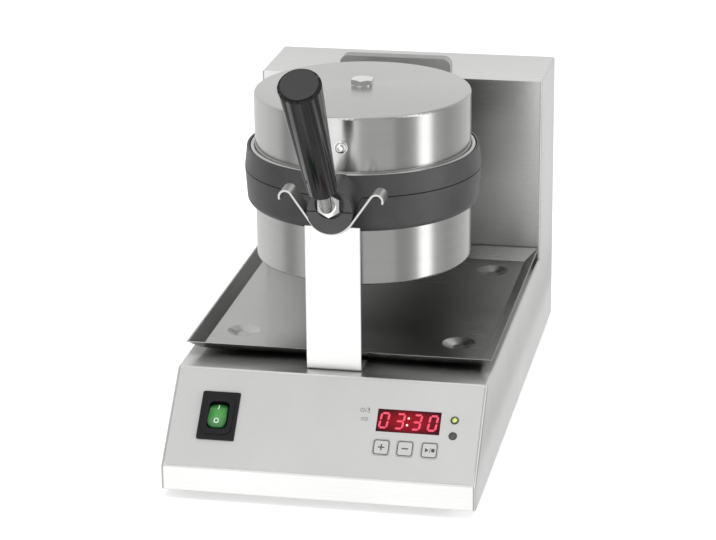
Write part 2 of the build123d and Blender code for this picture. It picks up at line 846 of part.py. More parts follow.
def lower_casting():
    """Deep rim of the lower half, with its half boss, hinge ears and shaft hub."""
    back = lower_cavity + lower_web
    body = turned([
        (cavity_radius, -parting_gap / 2),
        (ring_radius, -parting_gap / 2),
        (ring_radius - ring_draft, -lower_ring_depth),
        (seat_radius, -lower_ring_depth),
        (seat_radius, -lower_cavity),
        (cavity_radius, -lower_cavity),
    ])
    corner = body.edges().filter_by(GeomType.CIRCLE).sort_by(lambda edge: edge.center().Z - edge.radius)
    body = fillet(corner[0], lower_corner)
    casting = head_centre * body + half_boss(-1)
    outer = ear_places()[1][1]
    top = axis_z - yoke_drop
    yoke = block((-outer, head_y, top - yoke_height), (outer, hinge_y + hinge_barrel + hub_lap, top))
    yoke -= Pos(0, head_y, axis_z) * rod_z(seat_radius, -back - yoke_height, 1)
    for low_x, high_x in ear_places():
        yoke += block((low_x, hinge_y - hinge_barrel, top - 1), (high_x, hinge_y + hinge_barrel, hinge_z))
        yoke += rod_x(hinge_barrel, low_x, high_x, hinge_y, hinge_z)
    yoke += rod_y(hub_radius, hinge_y + hinge_barrel + ear_gap, hub_end_y, 0, axis_z)
    yoke -= Pos(0, head_y, axis_z) * rod_z(ring_radius + ear_gap, -parting_gap / 2, hinge_rise * 2)
    casting += yoke
    casting -= rod_x(hinge_pin_radius + fit_clearance, -housing_width, housing_width, hinge_y, hinge_z)
    casting -= rod_y(shaft_radius, shaft_start_y, hub_end_y + 1, 0, axis_z)
    casting -= rod_z(cross_pin_radius, axis_z - 2 * hub_radius, axis_z + 2 * hub_radius, 0, cross_pin_y())
    return casting - sensor_bore()


def plate_disc(cavity, web, stud_height):
    """Waffle plate that lies in a rim's ledge, built with its studs pointing down."""
    back = cavity + web
    disc = rod_z(seat_radius - fit_clearance, cavity, back)
    disc += rod_z(bolt_boss_radius, back - 1, back + bolt_boss_height)
    disc += studs(stud_height, cavity)
    disc -= Pos(0, 0, back + heater_tube - heater_sink) * Torus(heater_circle, heater_tube + fit_clearance)
    return disc - rod_z(bolt_radius, back + bolt_boss_height - bolt_depth, back + bolt_boss_height + 1)


def upper_plate():
    """Waffle plate of the upper half."""
    return head_centre * plate_disc(upper_cavity, upper_web, upper_stud)


def lower_plate():
    """Waffle plate of the lower half, with the bore of the temperature probe."""
    return head_centre * Rot(180, 0, 0) * plate_disc(lower_cavity, lower_web, lower_stud) - sensor_bore()


def sensor_bore():
    """Hole for the temperature probe, through the lower rim into its plate."""
    mouth = sensor_mouth_y()
    return rod_y(sensor_radius, mouth - sensor_length, mouth + yoke_height, sensor_x, sensor_z)


def cross_pin_y():
    """Y of the pin that fixes the shaft in the hub."""
    return (shaft_start_y + hub_end_y) / 2 + 2.0


def drum_body(radius, seat, crown, edge):
    """Solid drum above its seat, with a rounded edge and a slightly domed end."""
    flat = radius - edge
    dome_radius = (flat**2 + cover_dome**2) / (2 * cover_dome)
    dome_angle = math.degrees(math.asin(flat / dome_radius))
    outline = [
        Line((0, seat), (radius, seat)),
        Line((radius, seat), (radius, crown - edge)),
        CenterArc((flat, crown - edge), edge, 0, 90),
        CenterArc((0, crown + cover_dome - dome_radius), dome_radius, 90 - dome_angle, dome_angle),
        Line((0, crown + cover_dome), (0, seat)),
    ]
    return revolve(Plane.XZ * make_face(outline), Axis.Z)


def cover(seat, crown, screw_height):
    """Spun cover that opens downwards, with its bolt hole and its side screw's hole."""
    wall = cover_radius - cover_sheet
    shell = drum_body(cover_radius, seat, crown, cover_edge)
    shell -= drum_body(wall, seat - 1, crown - cover_sheet, cover_edge - cover_sheet)
    shell -= rod_z(bolt_radius + screw_clearance, seat, crown + 2 * cover_dome)
    hole = side_screw_radius + screw_clearance
    return shell - rod_y(hole, -cover_radius - 1, 3 * cover_sheet - cover_radius, 0, screw_height)


def upper_cover():
    """Brushed cover over the upper plate, with a rolled bead around its seat."""
    seat = upper_cavity + upper_web
    wall = cover_radius - cover_sheet
    bead_circle = cover_radius + bead_gap + bead_radius
    flange = rod_z(bead_circle, seat, seat + cover_sheet) - rod_z(wall, seat - 1, seat + 2 * cover_sheet)
    bead = Pos(0, 0, seat + bead_radius) * Torus(bead_circle, bead_radius)
    return head_centre * (cover(seat, upper_cover_top, side_screw_rise) + flange + bead)


def lower_cover():
    """Brushed cover under the lower plate."""
    shell = cover(lower_cavity + lower_web, lower_cover_bottom, lower_screw_drop())
    return head_centre * Rot(0, 180, 0) * shell


def lower_screw_drop():
    """Depth of the lower side screw, as far from its cover's flat end as the upper one."""
    return lower_cover_bottom - (upper_cover_top - side_screw_rise)


def cover_bolt(crown, anchor):
    """Hexagon bolt that pulls a cover onto its plate, and the washer under its head."""
    seat = crown + cover_dome + bolt_washer
    ease_radius = bolt_flats * 1.5
    head = Pos(0, 0, seat) * Rot(0, 0, 30) * hexagon_bar(bolt_flats, bolt_head)
    head &= Pos(0, 0, seat + bolt_head + bolt_ease - ease_radius) * Sphere(ease_radius)
    shank = rod_z(bolt_radius, anchor, seat + bolt_head / 4)
    washer = rod_z(bolt_washer_radius, crown + cover_dome / 2, seat) - rod_z(bolt_radius, crown, seat + 1)
    washer -= drum_body(cover_radius, 0, crown, cover_edge)
    return [head + shank, washer]


def side_screw(z):
    """Domed socket screw with its washer and inner nut, through a cover's front."""
    face = head_y - cover_radius
    washer = rod_y(side_washer_radius, face - side_washer, face + side_washer_lap, 0, z)
    head_start = face - side_washer - side_screw_head * 0.7
    head = rod_y(side_screw_head, head_start, face - side_washer + 0.1, 0, z)
    head = fillet(head.edges().group_by(Axis.Y)[0], side_screw_head * 0.55)
    socket = Pos(0, head_start, z) * Rot(90, 0, 0) * hexagon_bar(socket_flats, socket_depth)
    socket = Pos(0, socket_depth, 0) * socket
    shank = rod_y(side_screw_radius, face - side_washer, face + side_screw_reach, 0, z)
    nut_place = Pos(0, face + cover_sheet + side_nut_gap, z) * Rot(-90, 0, 0)
    nut = nut_place * hexagon_bar(side_nut_flats, side_nut_height)
    drum_wall = Pos(0, head_y, z) * Cylinder(cover_radius, 4 * side_washer_radius)
    return head - socket + (washer - drum_wall) + shank + nut


def heater(back, side):
    """Tubular heating element: an open ring in the plate's groove with two raised ends."""
    z = back + heater_tube - heater_sink
    sweep_angle = heater_sweep
    ring = Torus(heater_circle, heater_tube, major_angle=sweep_angle)
    ring = Rot(0, 0, 90 + (360 - sweep_angle) / 2) * ring
    ends = []
    for sign in (-1, 1):
        angle = math.radians(90 + sign * (360 - sweep_angle) / 2)
        x = heater_circle * math.cos(angle)
        y = heater_circle * math.sin(angle)
        ends.append(Pos(x, y, 0) * Sphere(heater_tube))
        ends.append(rod_z(heater_tube, 0, terminal_height, x, y))
    element = Pos(0, 0, z) * (ring + ends)
    return head_centre * (element if side > 0 else Rot(180, 0, 0) * element)


def insulation(back, side):
    """Mineral wool disc behind the heater, cut out for the bolt and the heater's ends."""
    low = back + 2 * heater_tube - heater_sink
    disc = rod_z(wool_radius, low, low + wool_thickness) - rod_z(bolt_boss_radius + wool_gap, back, low * 3)
    for sign in (-1, 1):
        angle = math.radians(90 + sign * (360 - heater_sweep) / 2)
        x = heater_circle * math.cos(angle)
        y = heater_circle * math.sin(angle)
        disc -= rod_z(heater_tube + wool_gap, back, low + wool_thickness + 1, x, y)
    return head_centre * (disc if side > 0 else Rot(180, 0, 0) * disc)


def sensor_mouth_y():
    """Y where the temperature probe enters the lower plate's rim."""
    return head_y + math.sqrt((ring_radius - ring_draft) ** 2 - sensor_x**2)


def plate_sensor():
    """Temperature probe in the lower plate's web, entered from the rear."""
    mouth = sensor_mouth_y()
    return rod_y(sensor_radius, mouth - sensor_length, mouth + sensor_stub, sensor_x, sensor_z)


def handle_corner():
    """Y and Z where the handle's level and leaning stretches meet."""
    return boss_y - rod_front, axis_z + handle_rise


def handle_lean():
    """Direction of the handle's leaning stretch, as Y and Z."""
    angle = math.radians(handle_angle)
    return -math.cos(angle), math.sin(angle)


def handle_place(distance):
    """Place on the leaning stretch with Z along it, at a distance from the corner."""
    y, z = handle_corner()
    dy, dz = handle_lean()
    return Pos(0, y + distance * dy, z + distance * dz) * Rot(90 - handle_angle, 0, 0)


def handle_rod():
    """Bent steel rod from the upper half of the boss into the grip."""
    y, z = handle_corner()
    dy, dz = handle_lean()
    reach = rod_grip_gap + rod_in_grip
    points = [(0, boss_y + rod_embed, z), (0, y, z), (0, y + reach * dy, z + reach * dz)]
    path = FilletPolyline(*points, radius=elbow_radius)
    return sweep(Plane(origin=points[0], z_dir=(0, -1, 0)) * Circle(rod_radius), path=path)


def lock_nut():
    """Hexagon nut that locks the rod against the boss."""
    place = Pos(0, boss_y + nut_recess, axis_z + handle_rise) * Rot(90, 0, 0) * Rot(0, 0, 30)
    nut = hexagon_bar(lock_nut_flats, lock_nut_height)
    nut &= Pos(0, 0, lock_nut_height - lock_nut_flats * 1.5 + lock_nut_ease) * Sphere(lock_nut_flats * 1.5)
    return place * (nut - Cylinder(rod_radius, 4 * lock_nut_height))


def handle_grip():
    """Tapered grip on the leaning stretch, with a recess for its end cap."""
    body = turned([
        (0, 0),
        (grip_low_radius, 0),
        (grip_top_radius, grip_length),
        (0, grip_length),
    ])
    body = fillet(body.edges().filter_by(GeomType.CIRCLE), grip_edge)
    body -= rod_z(rod_radius, -1, rod_in_grip)
    body -= rod_z(cap_radius, grip_length - cap_sink, grip_length + 1)
    return handle_place(rod_grip_gap) * body


def grip_cap():
    """Flat disc in the end of the grip."""
    disc = rod_z(cap_radius, grip_length - cap_sink, grip_length - cap_sink + cap_thickness)
    disc = fillet(disc.edges().group_by(Axis.Z)[-1], cap_edge)
    return handle_place(rod_grip_gap) * disc


def cradle():
    """Bent strip that carries the boss: a half-round seat, two leaning arms and rolled ends."""
    radius = boss_radius + running_gap + cradle_sheet / 2
    angle = math.radians(cradle_arm_angle)
    along = (math.cos(angle), math.sin(angle))
    touch = (radius * along[1], -radius * along[0])
    tip = (touch[0] + cradle_arm_length * along[0], touch[1] + cradle_arm_length * along[1])
    curl_middle = (tip[0] + curl_radius * along[1], tip[1] - curl_radius * along[0])
    seat = CenterArc((0, 0), radius, -90 - cradle_arm_angle, 2 * cradle_arm_angle)
    right = [
        Line(touch, tip),
        CenterArc(curl_middle, curl_radius, 90 + cradle_arm_angle, -curl_angle),
    ]
    left = [mirror(edge, Plane.YZ) for edge in right]
    path = Wire([edge for shape in [seat, *right, *left] for edge in shape.edges()])
    middle = Pos(0, boss_y + cradle_setback + cradle_width / 2, axis_z)
    section = Plane(path.edges().sort_by(Axis.X)[0] ^ 0) * Rectangle(cradle_sheet, cradle_width)
    strip = sweep(section, path=path)
    return middle * Rot(90, 0, 0) * strip


def post():
    """Front post: an upright plate hollowed for the cradle, with a foot bent to the rear."""
    half = post_width / 2
    crest = axis_z - post_drop
    plate = block((-half, post_y, top_z), (half, post_y + post_sheet, crest))
    foot = block((-half, post_y, top_z), (half, post_y + post_foot, top_z + post_sheet))
    bent = plate + foot
    outer = bent.edges().filter_by(Axis.X).sort_by(lambda edge: edge.center().Y + edge.center().Z)[0]
    bent = fillet(outer, post_sheet * 0.9)
    bent -= rod_y(boss_radius + running_gap + cradle_sheet, post_y - 1, post_y + 2 * post_sheet, 0, axis_z)
    for x, y in post_stud_places():
        bent -= rod_z(screw_radius, top_z - 1, top_z + post_sheet + 1, x, y)
    return bent


def post_studs():
    """Threaded studs that run from the post's foot down through the top plate."""
    low = top_z - sheet - nut_height - 2.0
    return [rod_z(screw_radius, low, top_z + post_sheet, x, y) for x, y in post_stud_places()]


def hinge_pin():
    """Pin through both ears and the lid's knuckle, with a groove near each end."""
    reach = pin_reach()
    pin = rod_x(hinge_pin_radius, -reach, reach, hinge_y, hinge_z)
    pin = chamfer(pin.edges().filter_by(GeomType.CIRCLE), pin_edge)
    for side in (-1, 1):
        low, high = sorted((side * (reach - clip_inset), side * (reach - clip_inset - clip_thickness)))
        groove = rod_x(hinge_pin_radius + 1, low, high, hinge_y, hinge_z)
        pin -= groove - rod_x(hinge_pin_radius - clip_groove, low - 1, high + 1, hinge_y, hinge_z)
    return pin


def pin_reach():
    """Half length of the hinge pin."""
    return ear_places()[1][1] + clip_thickness + clip_inset


def pin_clips():
    """Two open clips in the pin's grooves, against the ears."""
    clips = []
    outer = pin_reach() - clip_inset
    for side in (-1, 1):
        low, high = sorted((side * outer, side * (outer - clip_thickness)))
        clip = rod_x(clip_radius, low, high, hinge_y, hinge_z)
        clip -= rod_x(hinge_pin_radius - clip_groove, low - 1, high + 1, hinge_y, hinge_z)
        mouth = hinge_pin_radius * 0.6
        clip_low = hinge_z - 2 * clip_radius
        clip -= block((low - 1, hinge_y - mouth, clip_low), (high + 1, hinge_y + mouth, hinge_z))
        clips.append(clip)
    return clips


def head_shaft():
    """Hollow shaft that carries the head and lets its wires through."""
    start = shaft_start_y
    shaft = rod_y(shaft_radius, start, shaft_end_y, 0, axis_z)
    shaft = chamfer(shaft.edges().group_by(Axis.Y)[-1], shaft_edge)
    shaft -= rod_y(shaft_bore, start - 1, shaft_end_y + 1, 0, axis_z)
    low = axis_z - 2 * hub_radius
    return shaft - rod_z(cross_pin_radius, low, low + 4 * hub_radius, 0, cross_pin_y())


def cross_pins():
    """Short pins that fix the shaft in the hub, clear of its bore."""
    pins = []
    for side in (-1, 1):
        ends = sorted((axis_z + side * (shaft_bore + cross_pin_float), axis_z + side * (hub_radius - cross_pin_sink)))
        pins.append(rod_z(cross_pin_radius, *ends, 0, cross_pin_y()))
    return pins


def bracket_block(inset, ends):
    """Bracket's body moved inwards: a deep box up to its shoulder and a shallow crest above it."""
    half = bracket_width / 2 - inset
    front = bracket_y + inset
    low = axis_z - bracket_drop - ends
    shoulder = column_top_z - bracket_shoulder - inset
    crest = column_top_z + bracket_top - inset
    tall = block((-half, front, low), (half, bracket_y + bracket_crest - inset, crest))
    tall = fillet(tall.edges().filter_by(Axis.Y).group_by(Axis.Z)[-1], bracket_corner - inset)
    return tall + block((-half, front, low), (half, column_y + ends, shoulder))


def bearing_bracket():
    """Box on the column, open below and behind, that holds the front bush."""
    box = bracket_block(0, 0) - bracket_block(bracket_sheet, 1)
    inner = bracket_width / 2 - bracket_sheet
    low = axis_z - bracket_drop
    tab_top = column_top_z - bracket_shoulder
    for side in (-1, 1):
        low_x, high_x = sorted((side * (inner - bracket_tab), side * (inner + 0.5)))
        box += block((low_x, column_y - bracket_sheet, low), (high_x, column_y, tab_top))
    for x, z in bracket_screw_places():
        box -= rod_y(screw_radius + screw_clearance, column_y - 2 * bracket_sheet, column_y + 1, x, z)
    hole = shaft_radius + fit_clearance + bush_wall
    return box - rod_y(hole, bracket_y - 1, bracket_y + 2 * bracket_sheet, 0, axis_z)


def bush(plate_y, plate_sheet):
    """Flanged bronze bush in a plate, with its flange at the front."""
    bore = shaft_radius + fit_clearance
    sleeve = rod_y(bore + bush_wall, plate_y - bush_flange, plate_y + plate_sheet + 2.0, 0, axis_z)
    flange = rod_y(bush_flange_radius, plate_y - bush_flange, plate_y, 0, axis_z)
    return sleeve + flange - rod_y(bore, plate_y - 2 * bush_flange, plate_y + 4 * plate_sheet, 0, axis_z)


def inner_bearing_plate():
    """Plate across the column that holds the rear bush, with flanges against both sides."""
    half = half_width - sheet
    low = axis_z - inner_plate_half_height
    high = column_top_z - sheet - 2.0
    plate = block((-half, inner_plate_y, low), (half, inner_plate_y + inner_plate_sheet, high))
    for side in (-1, 1):
        low_x, high_x = sorted((side * half, side * (half - inner_plate_sheet)))
        plate += block((low_x, inner_plate_y - return_flange, low), (high_x, inner_plate_y + 1, high))
    hole = shaft_radius + fit_clearance + bush_wall
    return plate - rod_y(hole, inner_plate_y - 1, inner_plate_y + 2 * inner_plate_sheet, 0, axis_z)


def collar_y():
    """Front of the shaft collar, behind the rear bush."""
    return inner_plate_y + inner_plate_sheet + 2.0 + running_gap


def shaft_collar():
    """Collar pinned on the shaft, with the lug that meets the turning stops."""
    collar = rod_y(collar_radius, collar_y(), collar_y() + collar_width, 0, axis_z)
    collar += block(
        (-lug_reach, collar_y(), axis_z - lug_half_width),
        (0, collar_y() + collar_width, axis_z + lug_half_width),
    )
    collar -= rod_y(shaft_radius, collar_y() - 1, collar_y() + collar_width + 1, 0, axis_z)
    return collar - rod_z(screw_radius, axis_z, axis_z + 2 * collar_radius, 0, collar_y() + collar_width / 2)


def collar_screw():
    """Grub screw that holds the collar on the shaft."""
    middle = collar_y() + collar_width / 2
    screw = rod_z(screw_radius, axis_z + shaft_radius, axis_z + collar_radius - 0.5, 0, middle)
    return screw - Pos(0, middle, axis_z + collar_radius - 2.0) * hexagon_bar(2.0, 3.0)


def rotation_stops():
    """Two blocks on the inner plate, above the lug, that end the head's half turn."""
    stops = []
    low = axis_z + lug_half_width + running_gap
    back = inner_plate_y + inner_plate_sheet
    for side in (-1, 1):
        low_x, high_x = sorted((side * (lug_reach - stop_width), side * lug_reach))
        stops.append(block((low_x, back, low), (high_x, collar_y() + collar_width, low + stop_height)))
    return stops


def tray_frustum(grow):
    """Sloped body between the tray's floor and lip outlines, thickened outwards by grow."""
    left = half_width - tray_flare
    low = top_z + tray_floor_rise
    high = top_z + tray_lip_rise
    front = post_y + post_sheet + tray_post_gap
    back = column_y - tray_column_gap
    floor_face = Pos(0, (front + tray_front_run + back - tray_back_run) / 2, low) * Rectangle(
        2 * left, back - tray_back_run - front - tray_front_run
    )
    lip_face = Pos(0, (front + back) / 2, high) * Rectangle(housing_width - 2 * tray_side_gap, back - front)
    solid = loft([floor_face, lip_face])
    return Pos(0, 0, grow) * solid


def dimple_places():
    """Centres of the four pressed feet of the tray."""
    x = half_width - tray_flare - dimple_side_inset
    front = post_y + post_sheet + tray_post_gap + tray_front_run + dimple_end_inset
    back = column_y - tray_column_gap - tray_back_run - dimple_end_inset / 1.5
    return [(a * x, y) for a in (-1, 1) for y in (front, back)]


def drip_tray():
    """Loose sheet tray with flared sides and four pressed feet."""
    tray = tray_frustum(0) - tray_frustum(tray_sheet)
    depth = tray_floor_rise - tray_rest_gap
    tray_z = top_z + tray_floor_rise
    outer = [(0, -depth), (dimple_foot_radius, -depth), (dimple_radius, 0), (dimple_radius, 0.5), (0, 0.5)]
    lift = tray_sheet
    inner = [
        (0, lift - depth),
        (dimple_foot_radius, lift - depth),
        (dimple_radius, lift),
        (dimple_radius, lift + 1),
        (0, lift + 1),
    ]
    for x, y in dimple_places():
        place = Pos(x, y, tray_z)
        tray += place * turned(outer)
        tray -= place * turned(inner)
    return tray


def all_pieces():
    """Every piece by name."""
    pieces = {
        "base_shell": base_shell(),
        "bottom_plate": bottom_plate(),
        "rear_panel": rear_panel(),
        "case_screws": case_screws(),
        "case_nuts": case_nuts(),
        "control_overlay": control_overlay(),
        "display_window": display_window(),
        "display_module": display_module(),
        "control_board": control_board(),
        "board_standoffs": panel_standoffs() + power_standoffs(),
        "tact_switches": tact_switches(),
        "switch_bezel": switch_bezel(),
        "rocker_paddle": rocker_paddle(),
        "power_board": board_on_floor(power_board_size, power_board_x, power_board_y),
        "power_components": power_components(),
        "terminal_block": terminal_block(),
        "safety_thermostat": safety_thermostat(),
        "cord_gland": cord_gland(),
        "gland_nut": gland_nut(),
        "post": post(),
        "post_studs": post_studs(),
        "cradle": cradle(),
        "bearing_bracket": bearing_bracket(),
        "shaft_bushes": [bush(bracket_y, bracket_sheet), bush(inner_plate_y, inner_plate_sheet)],
        "inner_bearing_plate": inner_bearing_plate(),
        "rotation_stops": rotation_stops(),
        "shaft_collar": shaft_collar(),
        "head_shaft": head_shaft(),
        "shaft_fixings": cross_pins() + [collar_screw()],
        "hinge_pin": hinge_pin(),
        "pin_clips": pin_clips(),
        "drip_tray": drip_tray(),
        "handle_rod": handle_rod(),
        "lock_nut": lock_nut(),
        "handle_grip": handle_grip(),
        "grip_cap": grip_cap(),
    }
    for name, (x, y) in foot_places().items():
        pieces[name] = rubber_foot(x, y)
    for name, x in key_places.items():
        pieces[name] = key(x)
    for name, s in led_places.items():
        pieces[name] = indicator_lamp(s)
    upper_back = upper_cavity + upper_web
    lower_back = lower_cavity + lower_web
    pieces["upper_casting"] = upper_casting()
    pieces["upper_plate"] = upper_plate()
    pieces["upper_cover"] = upper_cover()
    pieces["upper_heater"] = heater(upper_back, 1)
    pieces["upper_insulation"] = insulation(upper_back, 1)
    upper_anchor = upper_back + bolt_boss_height - bolt_depth
    upper_bolt = cover_bolt(upper_cover_top, upper_anchor)
    pieces["upper_bolt"] = [head_centre * one for one in upper_bolt]
    pieces["upper_side_screw"] = side_screw(axis_z + side_screw_rise)
    pieces["lower_casting"] = lower_casting()
    pieces["lower_plate"] = lower_plate()
    pieces["lower_cover"] = lower_cover()
    pieces["lower_heater"] = heater(lower_back, -1)
    pieces["lower_insulation"] = insulation(lower_back, -1)
    lower_anchor = lower_back + bolt_boss_height - bolt_depth
    lower_bolt = cover_bolt(lower_cover_bottom, lower_anchor)
    pieces["lower_bolt"] = [head_centre * Rot(180, 0, 0) * one for one in lower_bolt]
    pieces["lower_side_screw"] = side_screw(axis_z - lower_screw_drop())
    pieces["plate_sensor"] = plate_sensor()
    return pieces


def as_shape(piece):
    """One shape from a piece, or from a group of separate solids."""
    return Compound(children=[as_shape(one) for one in piece]) if isinstance(piece, list) else piece


def main():
    """Build every piece, set the origin under the middle of the whole and write the files."""
    os.makedirs("parts", exist_ok=True)
    shapes = {name: as_shape(piece) for name, piece in all_pieces().items()}
    boxes = [shape.bounding_box() for shape in shapes.values()]
    front = min(box.min.Y for box in boxes)
    back = max(box.max.Y for box in boxes)
    shift = Pos(0, -(front + back) / 2, 0)
    for name, shape in shapes.items():
        export_step(shift * shape, f"parts/{name}.step")
    print("moved along Y by", round(-(front + back) / 2, 4))
    print("turn axis height", round(axis_z, 4))
    print("hinge pin at", round(hinge_y - (front + back) / 2, 4), round(hinge_z, 4))


main()
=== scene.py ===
import bmesh
import bpy
import math
from mathutils import Matrix, Vector


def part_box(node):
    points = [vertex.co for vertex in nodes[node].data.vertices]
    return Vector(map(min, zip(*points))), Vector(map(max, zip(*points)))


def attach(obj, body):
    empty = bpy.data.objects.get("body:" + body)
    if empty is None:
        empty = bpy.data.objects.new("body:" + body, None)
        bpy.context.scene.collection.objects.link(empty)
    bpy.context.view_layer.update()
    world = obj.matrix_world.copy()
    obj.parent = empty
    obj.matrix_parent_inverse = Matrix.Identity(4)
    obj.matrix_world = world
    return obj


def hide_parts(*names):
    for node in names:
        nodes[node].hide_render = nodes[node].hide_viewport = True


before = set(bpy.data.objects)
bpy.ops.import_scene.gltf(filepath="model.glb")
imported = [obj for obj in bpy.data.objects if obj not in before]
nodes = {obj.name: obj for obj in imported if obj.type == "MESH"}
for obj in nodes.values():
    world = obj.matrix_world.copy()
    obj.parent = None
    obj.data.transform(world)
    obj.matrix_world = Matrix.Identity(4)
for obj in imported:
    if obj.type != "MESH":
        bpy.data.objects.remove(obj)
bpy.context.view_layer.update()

MM = 0.001

# Lower front edge of the sloping panel, its lean, and the middle of the round head, in metres
FRONT_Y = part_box("base_shell")[0].y
STRIP_Z = 0.0272
SLOPE = math.atan2(0.06115, 0.0615)
HEAD = sum(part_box("upper_cover"), Vector()) / 2

# Places on the panel in millimetres: X to the right of its middle, S up its slope
WINDOW_X, WINDOW_S = 66.5, 51.0
LAMP_X, UPPER_LAMP_S, LOWER_LAMP_S = 102.4, 54.7, 41.5
SWITCH_X, SWITCH_S = -85.0, 45.2
KEY_S = 28.2
KEYS = {"minus": 66.4, "plus": 47.7, "start": 85.6}

# Heights of thin added pieces' middles over the panel, and their thickness, in millimetres
ON_FOIL, ON_WINDOW, ON_KEY, ON_LAMP, ON_SWITCH = 0.52, 0.53, 0.93, 0.62, 2.5
FOIL_PRINT, KEY_PRINT, LIT_BAR, PADDLE_PRINT = 0.03, 0.04, 0.05, 0.05
COLLAR_THICK, COLLAR_ROUND = 0.2, 0.12
RIDGE_THICK, RIDGE_ROUND = 0.6, 0.45


def panel_place(x, s, height=0.0):
    """Place on the sloping panel: x across and s up the slope in millimetres, Z out of it."""
    y = FRONT_Y + MM * (s * math.cos(SLOPE) - height * math.sin(SLOPE))
    z = STRIP_Z + MM * (s * math.sin(SLOPE) + height * math.cos(SLOPE))
    return Matrix.Translation((x * MM, y, z)) @ Matrix.Rotation(SLOPE, 4, "X")


# Materials

# Painted shade in nooks: openness from fully darkened to free, and heights in metres over which
# the shade sets in above the floor. Painted light on sheet bent off the level: upward share of
# the normal from a clear slope to level
NOOK_OPENNESS = 0.45, 0.92
FLOOR_FADE = 0.03, 0.10
LEVEL_FACING = 0.75, 0.99

# Noise scales of scratches, wider streaks and handling marks on steel, and of a casting's blotches
SCRATCH, STREAK, HANDLING, BLOTCH = 14.0, 2.2, 9.0, 28.0

# How closely scratches repeat along x, y and z for each direction of grain
GRAINS = {"x": (1.5, 90, 90), "y": (90, 1.5, 90), "z": (90, 90, 1.5), "ring": (6, 6, 160)}

# Flow lines of the grip: how closely they follow each other round it, and their depth in metres
FLOW_SCALE, FLOW_DEPTH = 1.7, 0.006

COAT_ROUGHNESS = 0.06


